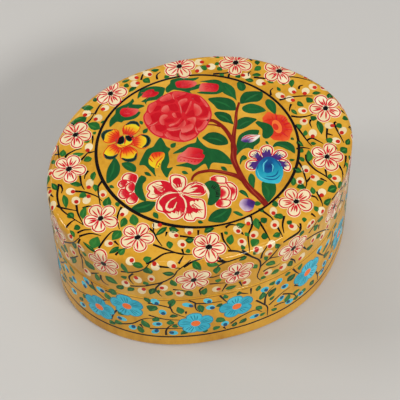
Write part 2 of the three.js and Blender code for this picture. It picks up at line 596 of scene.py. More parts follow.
def pad_height(rise, level):
    """How high the points of a pad lie. Their rise is 0 at its sunk foot and 1 at its top."""
    return SUNK + rise * (LAYER * (level + 1) - SUNK)


def press_mark(name, marks, about, place, size, turn, level, onto, tint, stretch=(1, 1), bend=0):
    """Lays one mark. Its place and its turn in degrees are seen from the point about."""
    angle = math.radians(turn)
    x = about[0] + stretch[0] * place[0] * math.cos(angle)
    y = about[1] + stretch[1] * place[0] * math.sin(angle)
    places, faces = marks[1] if by_the_rim(x, y, onto) else marks[0]
    along = places[:, 0] * size[0] / 2 + place[0]
    aside = (places[:, 1] + bend * (1 - places[:, 0] ** 2)) * size[1] / 2 + place[1]
    x = about[0] + stretch[0] * (along * math.cos(angle) - aside * math.sin(angle))
    y = about[1] + stretch[1] * (along * math.sin(angle) + aside * math.cos(angle))
    gather(name, np.stack(onto(x, y, pad_height(places[:, 2], level)), 1), faces, tint)


def dab(name, spot, size, turn, level, onto, tint, stretch=(1, 1), marks=DOT):
    """One round touch of the brush at a spot."""
    press_mark(name, marks, spot, (0, 0), size, turn, level, onto, tint, stretch)


def vary(middle, spread):
    """A value near the middle, as the hand would have it."""
    return middle + random_marks.uniform(-spread, spread)


def vary_size(size, *spreads):
    """A length and a width near the given ones."""
    return [vary(middle, spread) for middle, spread in zip(size, spreads)]


# %% [markdown]
# Long lines are drawn as curves with a round section, thick in the middle or at one end like a
# loaded brush. A curve becomes a mesh, is pressed almost flat and then laid on the box. The lines
# of a coat are one curve object, where each level lies far above the one below it.

# %% Drawing lines
RIM_STEP = 0.6
LEVEL_GAP = 10
FLATTENED = 0.12


def smooth_path(points, step, closed=False):
    """Points along a soft line through the given ones, about a step apart."""
    points = [np.array(point, float) for point in points]
    count = len(points)
    path = []
    for i in range(count if closed else count - 1):
        a = points[i - 1] if closed or i else 2 * points[0] - points[1]
        b = points[i]
        c = points[(i + 1) % count]
        d = points[(i + 2) % count] if closed or i + 2 < count else 2 * points[-1] - points[-2]
        pieces = max(1, round(math.dist(b[:2], c[:2]) / step))
        for t in np.arange(pieces) / pieces:
            path.append(0.5 * (2 * b + (c - a) * t + (2 * a - 5 * b + 4 * c - d) * t ** 2
                               + (3 * b - a - 3 * c + d) * t ** 3))
    if not closed:
        path.append(points[-1])
    return np.array(path)


def tail(share):
    """Thick at the start and thin at the end."""
    return 1 - 0.65 * share ** 1.5


def belly(share):
    """Thin at both ends."""
    return 0.2 + 0.8 * np.sin(math.pi * share) ** 0.8


def keep_stroke(name, path, radius, level, onto, closed=False):
    """Keeps a finished line for its coat, until all of the coat's lines are pressed on."""
    coat_named(name)["strokes"].append((path, radius, level, onto, closed))


def draw_line(name, points, width, level, shape=tail, onto=on_top, step=1.2, closed=False):
    """Draws a soft line through points. The width is in millimetres."""
    if any(by_the_rim(x, y, onto) for x, y in points):
        step = RIM_STEP
    path = smooth_path(points, step, closed)
    share = np.linspace(0, 1, len(path))
    width = width * (np.ones(len(path)) if closed else shape(share))
    keep_stroke(name, path, width / 2, level, onto, closed)


def draw_lines(name, width, level, lines, shape=belly, step=1.2):
    """Draws several lines of one width on the top."""
    for points in lines:
        draw_line(name, points, width, level, shape, step=step)


def curves_to_marks(name, onto, strokes):
    """Makes one curve object of the lines that lie on the same sheet, and presses it on."""
    curve = bpy.data.curves.new(name, "CURVE")
    curve.dimensions = "3D"
    curve.bevel_depth = 1
    curve.bevel_resolution = 1
    curve.use_fill_caps = True
    for path, radius, level, _, closed in strokes:
        line = curve.splines.new("POLY")
        line.points.add(len(path) - 1)
        line.use_cyclic_u = closed
        rows = np.column_stack([path, np.full(len(path), float(level * LEVEL_GAP)), np.ones(len(path))])
        line.points.foreach_set("co", rows.ravel())
        line.points.foreach_set("radius", radius)
    bring_in(name, curve)
    bpy.ops.object.convert(target="MESH")
    piece = bpy.context.object
    bpy.ops.object.mode_set(mode="EDIT")
    bpy.ops.mesh.select_all(action="SELECT")
    bpy.ops.mesh.remove_doubles(threshold=0.001)
    face_outwards()
    places, faces = take_shape(piece)
    level = np.rint(places[:, 2] / LEVEL_GAP)
    lift = np.clip((places[:, 2] - level * LEVEL_GAP) * FLATTENED, -LAYER, LAYER)
    height = LAYER * (level + 1) + lift
    gather(name, np.stack(onto(places[:, 0], places[:, 1], height), 1), faces, 0.5)


# %% [markdown]
# Large petals and leaves have outlines of their own. Such an outline is drawn with a few points,
# smoothed, filled, and raised to a pad. A shape may fade from one tint to another, which is how
# a brush with two colours is dragged from the heart of a flower to its edge.

# %% Drawing filled shapes
FADE_RINGS = (0.6,)
WIDE_FADE_RINGS = (0.8, 0.6, 0.4)


def draw_shape(name, level, outline, tint, heart=None, reach=8, far=1, grow=0, rings=None, step=0.9):
    """Fills an outline on the top. With a heart, the tint fades from it to far at that reach."""
    if heart is not None and rings is None:
        rings = FADE_RINGS
    path = smooth_path(outline, step, closed=True)
    ahead = np.roll(path, -1, axis=0)
    if np.sum(path[:, 0] * ahead[:, 1] - path[:, 1] * ahead[:, 0]) < 0:
        path = path[::-1]
    if grow:
        along = np.roll(path, -1, axis=0) - np.roll(path, 1, axis=0)
        outward = np.column_stack([along[:, 1], -along[:, 0]]) / np.hypot(*along.T)[:, None]
        path = path + grow * outward
    start_clean()
    bpy.ops.mesh.primitive_circle_add(vertices=len(path), radius=1, fill_type="NGON")
    piece = bpy.context.object
    move_points(piece.data, np.column_stack([path, np.zeros(len(path))]))
    bpy.ops.object.mode_set(mode="EDIT")
    raise_pad(0.07, rings)
    places, faces = take_shape(piece)
    x = places[:, 0]
    y = places[:, 1]
    if heart is not None:
        away = np.clip(np.hypot(x - heart[0], y - heart[1]) / reach, 0, 1)
        tint = tint + (far - tint) * away
    gather(name, np.stack(on_top(x, y, pad_height(places[:, 2], level)), 1), faces, tint)


# %% [markdown]
# ## The motifs
# The same few motifs come again and again: a five-petalled cream blossom with crimson edges and
# veins, a cream berry with a red heart, a small green leaf, a black twig, and on the base a
# turquoise blossom with an orange heart and a turquoise bud.

# %% Blossoms, berries, leaves and twigs
# Petals, hearts, berries and buds have their length and their width in millimetres. Veins lean
# away from the middle of their petal by these degrees.
PETALS = 5
LID_PETAL = (6.9, 6.3)
BASE_PETAL = (7.4, 8)
LID_VEIN_LEAN = 14.5
BASE_VEIN_LEANS = (-17, -3, 13)
HEART = (2.6, 2.1)
HEART_HAIRS = 8
BERRY = (3.9, 3.3)
BERRY_SHADE = (1.9, 1.8)
BERRY_HEART = (1.6, 1.5)
BUD = (4.4, 3.3)
BUD_TIP = (2.1, 1.8)
ORANGE_MIDDLE = (4, 4.5)
TWIG_WIDTH = 0.95
STREAKED_LENGTH = 2.6
WALL_DOT_STRETCH = 1.35


def petal(name, about, turn, inner, outer, width, level, onto, tint, stretch):
    """One petal that points away from the blossom's middle."""
    press_mark(name, PETAL, about, ((inner + outer) / 2, 0), (outer - inner, width), turn, level, onto,
               tint, stretch)


def spokes(about, stretch, *steps):
    """Points round a blossom's middle. Each step is a direction in degrees and a distance."""
    points = []
    for turn, reach in steps:
        angle = math.radians(turn)
        points.append((about[0] + stretch[0] * reach * math.cos(angle),
                       about[1] + stretch[1] * reach * math.sin(angle)))
    return points


def direction(start, end):
    """The direction from one point to another, in degrees."""
    return math.degrees(math.atan2(end[1] - start[1], end[0] - start[0]))


def cream_blossom(about, turn, onto, wide=1, tall=1):
    """Five cream petals edged and veined in crimson, with a black heart."""
    stretch = (wide, tall)
    for i in range(PETALS):
        at = turn + 360 / PETALS * i + vary(0, 4)
        reach, broad = vary_size(LID_PETAL, 0.4, 0.35)
        petal("lid_cream", about, at, 0.4, reach + 0.24, broad + 0.45, 1, onto, 0.6, stretch)
        petal("lid_crimson", about, at, 0.5, reach, broad, 2, onto, 0.4, stretch)
        petal("lid_cream", about, at, 0.1, reach - 0.5, broad - 1.0, 3, onto, vary(0.55, 0.3), stretch)
        for side in random_marks.choice([(-1, 1), (-1, 1), (-1, 0.1, 1)]):
            lean = side * vary(LID_VEIN_LEAN, 1.5)
            end = vary(5.4, 0.4) if abs(side) == 1 else vary(4.2, 0.5)
            vein = spokes(about, stretch, (at + lean, 1.6), (at + lean, 3.2), (at + lean * 0.85, end))
            draw_line("lid_crimson", vein, vary(0.66, 0.1), 4, belly, onto, 0.9)
        between = at + 180 / PETALS
        gap = spokes(about, stretch, (between, 1.3), (between, vary(4.2, 0.4)))
        draw_line("lid_crimson", gap, 0.75, 4, tail, onto, 0.9)
    high = WALL_DOT_STRETCH if onto is on_wall else 1
    dab("lid_twigs", about, vary_size(HEART, 0.3, 0.2), vary(10, 30), 5, onto, 0.2, (1, high))
    for i in range(HEART_HAIRS):
        at = 360 / HEART_HAIRS * i + vary(0, 12)
        hair = spokes(about, stretch, (at, 0.7), (at, vary(1.6, 0.2)))
        draw_line("lid_twigs", hair, 0.4, 5, tail, onto)


def turquoise_blossom(about, turn, onto):
    """Five turquoise petals with fine blue veins and an orange heart."""
    stretch = (1, 1.1)
    for i in range(PETALS):
        at = turn + 360 / PETALS * i + vary(0, 4)
        reach, broad = vary_size(BASE_PETAL, 0.3, 0.3)
        level = 1 + i % 2
        petal("base_veins", about, at, 0.2, reach + 0.1, broad + 0.2, level, onto, 0.5, stretch)
        petal("base_turquoise", about, at, 0.2, reach - 0.25, broad - 0.5, level + 1, onto, vary(0.5, 0.3),
              stretch)
        for lean in BASE_VEIN_LEANS:
            vein = spokes(about, stretch, (at + lean * 0.9, 2.2), (at + lean, 4.2),
                          (at + lean * 0.85, vary(6.2, 0.5)))
            draw_line("base_veins", vein, 0.42, 4, belly, onto, 1)
    dab("base_orange", about, ORANGE_MIDDLE, 0, 5, onto, 0.5)


def leaf(name, x, y, turn, length, width, onto):
    """One small curved leaf with a lighter streak where the brush was lifted."""
    bend = vary(0, 0.5)
    stalk_side = random_marks.choice((0, 180))
    press_mark(name, SMALL_LEAF, (x, y), (0, 0), (length * 1.22, width * 1.4), turn + stalk_side, 1, onto,
               vary(0.35, 0.3), bend=bend)
    if length > STREAKED_LENGTH:
        press_mark(name, SMALL_LEAF, (x, y), (0, bend * 0.4 * width), (length * 0.7, width * 0.3), turn,
                   2, onto, vary(0.85, 0.15), bend=bend)


def berry(x, y, dot_x, dot_y, onto):
    """A cream berry and its red heart. On the wall below the rim both are painted taller."""
    turn = direction((x, y), (dot_x, dot_y))
    below_rim = onto is on_wall and not by_the_rim(x, y, onto)
    stretch = (1, WALL_DOT_STRETCH) if below_rim else (1, 1)
    heart = (dot_x, dot_y)
    dab("lid_cream", (x, y), vary_size(BERRY, 0.4, 0.3), turn, 1, onto, vary(0.3, 0.25), stretch)
    dab("lid_crimson", heart, BERRY_SHADE, turn, 2, onto, 0.1, stretch)
    dab("lid_berries", heart, vary_size(BERRY_HEART, 0.1, 0.1), turn, 3, onto, vary(0.5, 0.3), stretch)


def bud(x, y, dot_x, dot_y, onto):
    """A turquoise bud and its dark blue tip."""
    turn = direction((x, y), (dot_x, dot_y))
    stretch = (1, WALL_DOT_STRETCH)
    dab("base_turquoise", (x, y), vary_size(BUD, 0.4, 0.3), turn, 1, onto, vary(0.7, 0.2))
    dab("base_blue", (dot_x, dot_y), vary_size(BUD_TIP, 0.2, 0.2), turn, 3, onto, 0.3, stretch)


def twig(name, points, onto):
    """A black twig that thins towards its end."""
    draw_line(name, points, TWIG_WIDTH, 0, tail, onto)


# %% [markdown]
# ## The meadow round the lid's top
# The blossoms stand in a ring between the black oval and the rim. Each entry is the blossom's
# middle and the turn of one of its petals.

# %% Cream blossoms on the top
TOP_BLOSSOMS = [
    (-23.2, 42.8, -85), (8.3, 45.7, -85), (31, 38.7, 100), (46.2, 27.8, 55), (56.3, 2.7, -52),
    (47, -20, -92), (27, -35.5, 95), (-12.8, -42.5, -97), (-37, -28.2, -100), (-47.5, -14.5, 98),
    (-51.5, 12.8, -100), (-43.5, 28, -100)]
for x, y, turn in TOP_BLOSSOMS:
    cream_blossom((x, y), turn, on_top)

# %% Berries on the top
# Each is the berry's middle and the middle of its red heart.
TOP_BERRIES = [
    (-54.3, 2.2, -53.5, 1.7), (-46, 3, -47, 1.3), (-53.8, -2.8, -53.8, -3.4), (-49.8, -4.2, -48.5, -2.8),
    (-42.8, -3.8, -43, -4.4), (-38, -15.2, -39, -16), (-40.5, 20, -41.5, 18.7), (-32.2, 32.7, -33.3, 32.4),
    (-35.7, 36.7, -36.6, 36.2), (-27.8, 36.4, -28.8, 36.2), (-11.5, 47.3, -10.3, 46.7),
    (-12.2, 43.8, -10.9, 43.7), (-5.3, 47, -4.6, 46.2), (16.8, 44.7, 18, 44.3), (20.7, 40.5, 19.6, 41.2),
    (15.5, 41, 14.4, 40.5), (32.3, 30.5, 31.3, 31.2), (36.5, 25, 37.6, 23.9), (41.5, 15.5, 42.2, 14.7),
    (47.2, 16.2, 47.5, 15.2), (56, 15, 56.5, 14.4), (52.3, 14, 51.4, 12.9), (44.5, 12.5, 45.4, 11.4),
    (47, 4.9, 47.4, 4.6), (45.2, -0.5, 45.6, -0.2), (46.3, -7.2, 45.7, -8.6), (54.2, -6, 55.3, -6.5),
    (58.2, -10.4, 57.4, -11.1), (53.7, -14, 54.2, -14.6), (36.5, -22.5, 36.5, -23.3),
    (32.3, -27, 32, -27.4), (38.3, -27.7, 37.7, -27), (46.3, -31, 45.6, -30.7), (38.3, -35, 37.6, -36.3),
    (16.8, -36.5, 16.5, -37.3), (21.2, -45.7, 20.8, -45.4), (29, -47.3, 28.6, -47.8),
    (-23.5, -32.2, -22.7, -33), (-17.3, -32.6, -17.5, -33.8), (-22, -37.3, -21.9, -37.8),
    (0.4, -39.3, 0.5, -40), (6, -37.2, 5.5, -38.2), (0, -45.3, 0, -44.8), (5.7, -43.7, 5.2, -44),
    (15, -42.3, 14.8, -42.6), (4.5, -50.5, 4.2, -50.2), (10.5, -50, 9.8, -50.5),
    (-48.3, -26.5, -47.7, -26.8), (-28.3, -25.7, -27, -26.1)]
for entry in TOP_BERRIES:
    berry(*entry, on_top)

# %% Leaves on the top
# Each is a leaf's middle, its direction in degrees, its length and its width.
TOP_LEAVES = [
    (-43, 14.2, 0, 3, 2), (-43.5, 5.5, 60, 4, 1.5), (-51.5, 4.5, -35, 4, 1.6), (-59.7, 7, 100, 3.5, 1.5),
    (-58, -1.5, 80, 5.5, 1.6), (-50.7, -1, 30, 2.8, 2), (-44.8, 0, 80, 3, 1.6), (-52.5, -9.5, 60, 5, 1.8),
    (-42.2, -8.5, 65, 4.5, 2.4), (-57.8, -8.7, 110, 2.8, 2), (-57.5, -15.2, 0, 2.3, 1.8),
    (-39.3, -10.8, 90, 2, 1.3), (-60.2, -16.5, 100, 3, 1.1), (-40, -19.5, 50, 4, 2),
    (-35.5, -20, 80, 4.5, 2.5), (-40, 34.8, 0, 6, 2.8), (-34.5, 39.8, -30, 4.5, 2),
    (-30.3, 42.3, 80, 2, 1.5), (-35.3, 29.3, -50, 5, 2.8), (-36, 25.8, 30, 1.5, 1), (-40.3, 23, 0, 2, 1.2),
    (-51.3, 21.3, 60, 3, 1.8), (-56.3, 18.7, 100, 2.2, 1.3), (-45.5, 18.5, -20, 4, 1.4),
    (-24, 37, -20, 3, 1), (-31, 29.8, 0, 2, 1), (-15, 46.8, 0, 3, 1), (-15.8, 44.5, 45, 2, 1.5),
    (-14, 41.2, 20, 3.5, 1.3), (-7.2, 43.3, -50, 3, 2), (-1.8, 47.8, -20, 3, 1.2), (1, 42.3, 90, 1.8, 1.5),
    (6.5, 41.3, -60, 2, 1.3), (17.3, 41, -60, 2.8, 1.8), (23.5, 41, 10, 2, 1.2), (23.5, 38, -60, 2.2, 1.5),
    (25, 45, -60, 2.5, 1.2), (23, 34.5, -80, 2.5, 1.2), (29, 31.8, 20, 2, 1.6), (39.5, 35.5, 70, 2.3, 1.5),
    (38.3, 32.5, 20, 3, 1.8), (36.5, 29.2, -20, 3.3, 1.3), (32.7, 27.7, -35, 3, 1.5),
    (40.7, 24, -60, 2.8, 1.2), (45.3, 21.5, 70, 2.6, 1.5), (48.7, 19.7, 60, 3.6, 1.5),
    (42.3, 19, 100, 2.2, 1), (56, 11.3, -15, 3, 1.2), (51.8, 8.7, 20, 2.5, 2.2), (60.8, 8, 70, 3.3, 1.8),
    (47.7, 8.5, -70, 3, 1.6), (43.5, 5.5, -70, 3, 1.2), (49.8, 0, -50, 2.5, 1.8), (42.2, -2, -80, 2.5, 1.4),
    (50, -5.5, 80, 6, 1.8), (43.5, -6, 60, 2.5, 1.3), (58, -7.5, -80, 2.5, 1.6), (62, -5, -10, 2.5, 1.6),
    (51.3, -12.5, -20, 2.5, 1.8), (44.5, -12, -30, 2, 1.2), (39.7, -10, -75, 3.5, 1.5),
    (38.5, -13.5, 40, 2, 1.3), (37, -17.5, -75, 2.5, 1.3), (40, -17, 65, 5, 2), (33.3, -16.3, -20, 2, 0.9),
    (52, -17, -60, 2, 1.2), (54.8, -19.2, 10, 2.8, 2.4), (58, -16, 45, 3, 1.5), (56.2, -23, 90, 1.7, 1.2),
    (53.3, -26.2, -70, 2.2, 1.3), (33.3, -21.8, -50, 3.5, 2), (29.5, -26, 70, 3.8, 1.6),
    (31.3, -30, -20, 3, 2), (39.5, -31, 10, 3, 1.8), (35.2, -33, 80, 3, 1.4), (44.3, -29, 50, 2, 1.3),
    (42.8, -35, 10, 4, 2.3), (39, -39.3, 20, 3.8, 1.8), (33, -41.3, -80, 2.2, 1.4),
    (18.7, -33.7, -10, 2.2, 2), (18, -39.5, -50, 2.8, 1.8), (20.7, -43.3, 15, 2, 1.5),
    (26.5, -44.3, 70, 1.8, 1.3), (-22.5, -30, -40, 3.5, 1.8), (-18.5, -36.7, -15, 3, 1.8),
    (-21, -41.3, 0, 1.8, 1.3), (-9.8, -35.5, 5, 3.8, 1.8), (2.5, -37.5, -20, 3, 1.8),
    (-4.2, -39, 20, 1.3, 1.2), (-3.5, -42.5, 60, 4, 2), (8.7, -39.5, 80, 4.5, 2), (11.8, -39, 15, 2.5, 2),
    (3, -42.5, 30, 1.5, 1.5), (4.7, -47.5, 30, 3.5, 2.2), (9.3, -46, -20, 2.5, 2),
    (13.8, -46.8, 5, 2.8, 1.6), (12.5, -34.5, -60, 2.5, 1.2), (17.3, -39.2, -50, 2.5, 1.5),
    (-0.5, -47.8, 10, 1.5, 1.5), (-53, -24, 50, 4.5, 3), (-44.3, -24.2, 30, 4.5, 2.5),
    (-56, -24.8, -65, 6, 1), (-47.5, -30, 15, 4, 1.5), (-44.7, -32.2, 30, 2.8, 2), (-27.5, -29, 20, 5, 1.5),
    (-26.8, -36, 80, 3, 1.8), (-36.8, -38.5, -10, 2.8, 1.8)]
for x, y, turn, length, width in TOP_LEAVES:
    leaf("lid_leaves", x, y, turn, length, width, on_top)

# %% Twigs on the top
TOP_TWIGS = [
    [(-61.5, -2), (-60.5, -3.5), (-55, -7.5)],
    [(-57.5, 7.5), (-60, 2), (-60.5, -4), (-58, -9.5), (-54.7, -14.8)],
    [(-61.5, -13), (-58.5, -11.5), (-57, -11.3)], [(-54.3, -4.8), (-55, -9), (-54.7, -14.5)],
    [(-53, 1.8), (-49, -0.5), (-45.5, -4), (-44.3, -7)], [(-48.3, 8.3), (-49.2, 4), (-49, 0.8)],
    [(-44.5, 9), (-46.5, 7.3), (-47.3, 5.7)], [(-41.2, 2), (-43.5, 0), (-44.5, -3.5), (-45.8, -9.7)],
    [(-52.5, -7.2), (-50, -7.2), (-48, -8.5)], [(-57, 7), (-57, 4.5), (-58, 2.8)],
    [(-62.3, 4.5), (-61.5, 2.3)], [(-38, -12.5), (-41, -16), (-42, -19.5), (-42.3, -22)],
    [(-52.7, -27), (-49, -24), (-45.5, -22), (-43, -22.3)], [(-46, -26.3), (-45, -28.8)],
    [(-47.7, -32.3), (-44.5, -31), (-42.5, -31.3)], [(-29, -24.5), (-30.3, -28)],
    [(-32, -25), (-30.5, -28), (-30.2, -32), (-29.5, -35.5)], [(-25.5, -30), (-26.7, -31.8)],
    [(-32.5, -33.5), (-28, -38), (-24, -41.5), (-20, -43.3)],
    [(-38, -40.2), (-35, -40.2), (-30, -39), (-26, -40), (-22, -42.3)], [(-22.8, -39.5), (-23, -42)],
    [(-26.3, -45), (-23.3, -42.5)], [(-21.5, -33.7), (-17.5, -36), (-16, -37)],
    [(-13.8, -33.8), (-15, -36.7)], [(-25, -47), (-21, -46.2), (-17, -46.3)],
    [(-5.8, -38.2), (-6.3, -42), (-5.3, -46.8)], [(-6.5, -46.7), (-2.5, -48.7), (0.5, -51.5)],
    [(-12, -49), (-9, -51.3)], [(-3.5, -36.7), (-1.5, -36), (1.5, -37.5)], [(1.5, -41), (1.8, -42.3)],
    [(7.7, -35.3), (6.5, -39.5), (3.5, -43), (2.3, -46.5), (1.2, -50.3)],
    [(9.8, -39), (10.3, -44), (10.5, -48.5)], [(13, -35), (14.8, -38.5), (15.3, -41)],
    [(15.5, -43.5), (15.8, -48.5)], [(20, -40), (17.8, -43.5), (16.8, -47.3)],
    [(24.5, -45.3), (24, -47.8), (22, -49.5), (18, -50.5)], [(20.5, -30.8), (21.8, -31.8)],
    [(33.5, -35), (35, -36.3), (35.3, -38.3)], [(36.5, -34), (36.4, -38), (36.2, -41)],
    [(30.3, -42.7), (31.8, -44.5)], [(35.2, -18), (35.5, -21), (34.7, -27), (34, -29.5), (32.3, -31.5)],
    [(34.5, -28.3), (36.3, -27.2), (38, -25.7)], [(40.3, -28.7), (42.2, -31)],
    [(39.5, -16), (38.7, -19), (40, -24), (43, -29), (45.2, -35.3)], [(44, -25.3), (43, -29)],
    [(49.8, -25.5), (50.2, -30)], [(54.5, -22), (53, -25), (51.3, -27.2)],
    [(37, -12), (40, -12.5), (42.2, -14)], [(41.5, -0.7), (42, -5), (42.6, -9.5), (43.3, -13)],
    [(42.6, -9.7), (45, -9.3), (46.8, -11.5), (48.2, -13.5)], [(52.8, -7), (51, -10.5), (50, -13.5)],
    [(51.5, -9.3), (53.5, -11)], [(57.5, -5.2), (56.3, -6.5), (56.2, -16)],
    [(48.3, -0.5), (47.2, -2), (47, -4.5)], [(41.5, 4), (44.5, 2.3), (48, 1.6), (51, 2)],
    [(44, 9.8), (42.7, 8.2), (41.8, 6.5)], [(40.3, 13.5), (46, 13), (50, 12), (54, 10.5)],
    [(61.8, -0.5), (62.8, -2.3)], [(38, 17), (38.8, 19.5), (40.3, 20.3)],
    [(50, 16), (51, 17.3), (52.5, 17.2)], [(25, 31.7), (26, 33.7), (28, 34.8), (29.5, 35)],
    [(33.3, 30), (33.8, 31.5), (35.2, 32)], [(20, 36.5), (25, 35), (29, 35)],
    [(35, 28.5), (42, 25), (50, 23), (57, 18)], [(-32.8, 35), (-30.5, 37.5), (-28.5, 39), (-25, 39.5)],
    [(-38.3, 31.5), (-35.5, 33), (-33, 35.3)], [(-36, 36.3), (-33, 35.5)], [(-43, 34.5), (-42.5, 32.5)],
    [(-51.2, 18.7), (-49.5, 20), (-46, 20.7), (-43.5, 20.5)], [(-45.5, 15), (-43, 16.7), (-41, 18)],
    [(-41.7, 17.3), (-38.8, 17)], [(-37.3, 25), (-37.8, 23), (-38.7, 21)], [(-54.5, 22), (-52.5, 21)],
    [(-52, 26), (-53.5, 19)], [(-58.5, 15.3), (-57.5, 13)], [(-9, 44.8), (-7.5, 47), (-5, 49)],
    [(-2.7, 42.5), (-2, 44.8), (0, 45.8)], [(-58, -19), (-53.5, -19.5), (-50, -22)],
    [(-58.2, -17.3), (-55.5, -17), (-52.5, -18)]]
for points in TOP_TWIGS:
    twig("lid_twigs", points, on_top)
print("top:", len(TOP_BLOSSOMS), "blossoms", len(TOP_BERRIES), "berries", len(TOP_LEAVES), "leaves")

# %% [markdown]
# ## The black oval
# One long line, thicker at the left where the brush was pressed, closes round the branch.

# %% Black oval on the top
OVAL_AT = (0, 2.9)
OVAL_TILT = math.radians(-16)
OVAL_HALF_LONG = 41
OVAL_HALF_WIDE = 38
# Half the line's width at these directions from the middle of the top, in degrees
PRESS_AT = [0, 60, 120, 180, 235, 262, 290, 320, 360]
PRESS = [0.56, 0.46, 0.5, 0.74, 0.7, 0.42, 0.46, 0.6, 0.56]
oval_line = []
for degrees in range(0, 360, 10):
    angle = math.radians(degrees)
    along = OVAL_HALF_LONG * math.cos(angle)
    aside = OVAL_HALF_WIDE * math.sin(angle)
    oval_line.append((OVAL_AT[0] + along * math.cos(OVAL_TILT) - aside * math.sin(OVAL_TILT),
                      OVAL_AT[1] + along * math.sin(OVAL_TILT) + aside * math.cos(OVAL_TILT)))
oval_path = smooth_path(oval_line, 1.5, closed=True)
bearing = np.degrees(np.arctan2(oval_path[:, 1], oval_path[:, 0])) % 360
keep_stroke("lid_twigs", oval_path, np.interp(bearing, PRESS_AT, PRESS), 1, on_top, closed=True)
print("the black oval has", len(oval_path), "points")

# %% [markdown]
# ## The branch
# The branch is drawn in red-brown, broad at its foot and thin at its tips, with one dark fork
# that carries the rose and one low fork that reaches out over the pink flower.

# %% Branch with its forks
def swelling(*widths):
    """A stroke whose width goes evenly through these shares of its full width."""
    return lambda share: np.interp(share, np.linspace(0, 1, len(widths)), widths)


BRANCH = [
    (15.4, -32.8), (14.1, -28), (12.5, -24), (11.5, -20), (11.2, -14), (11.4, -8), (12.8, -4.6), (14, -1),
    (15.6, 2.6), (17.6, 6.4), (18.9, 8.6), (21, 13.2), (22.5, 15.7), (24.4, 18.3)]
ROSE_FORK = [(13.6, -4), (14.3, 0), (14.2, 5), (13.4, 9), (12, 12), (10.6, 13.6), (8.4, 14.6)]
ROSE_SPUR = [(12.6, 9.4), (10.5, 11.2), (7.8, 12.4)]
LOW_FORK = [
    (11.2, -18.4), (9.8, -16), (7.1, -13.6), (5, -12), (2.7, -10.6), (0.4, -9.4), (-3.5, -8.7),
    (-5.6, -9.1), (-6.9, -9.9), (-7.9, -11.2)]
BARK_LINES = [
    [(14.8, -31), (13, -25.4), (11.8, -20)], [(11.3, -12), (11.6, -7), (13.4, -2.4)],
    [(15.6, 3), (18.6, 8.6), (21.6, 14)], [(9, -15), (5, -11.8), (0, -9.2)]]
draw_line("lid_branch", BRANCH, 2.7, 2, swelling(0.9, 0.95, 0.85, 0.8, 0.95, 0.75, 0.55, 0.45, 0.35),
          step=0.8)
draw_line("lid_branch", ROSE_FORK, 1.9, 3, swelling(1, 0.9, 0.85), step=0.8)
draw_line("lid_branch", ROSE_SPUR, 0.9, 2, swelling(1, 0.6))
draw_line("lid_branch", LOW_FORK, 2.2, 3, swelling(1, 0.9, 0.7, 0.65, 0.6, 0.35), step=0.8)
draw_lines("lid_bark", 0.5, 4, BARK_LINES)

# %% [markdown]
# ## Dark leaves in the oval
# These leaves are broader and darker than those of the meadow. The large ones are filled
# outlines, and the small ones are pulled from their stalk to their tip in one stroke.

# %% Dark leaves
def lift_streak(name, outline, width, level):
    """A lighter streak down a leaf, where the brush was lifted."""
    points = np.array(outline)
    middle = points.mean(axis=0)
    tip = points[np.hypot(*(points - middle).T).argmax()]
    stalk = points[np.hypot(*(points - tip).T).argmax()]
    streak = [middle + 0.6 * (stalk - middle), middle, middle + 0.6 * (tip - middle)]
    draw_line(name, streak, width, level, belly)


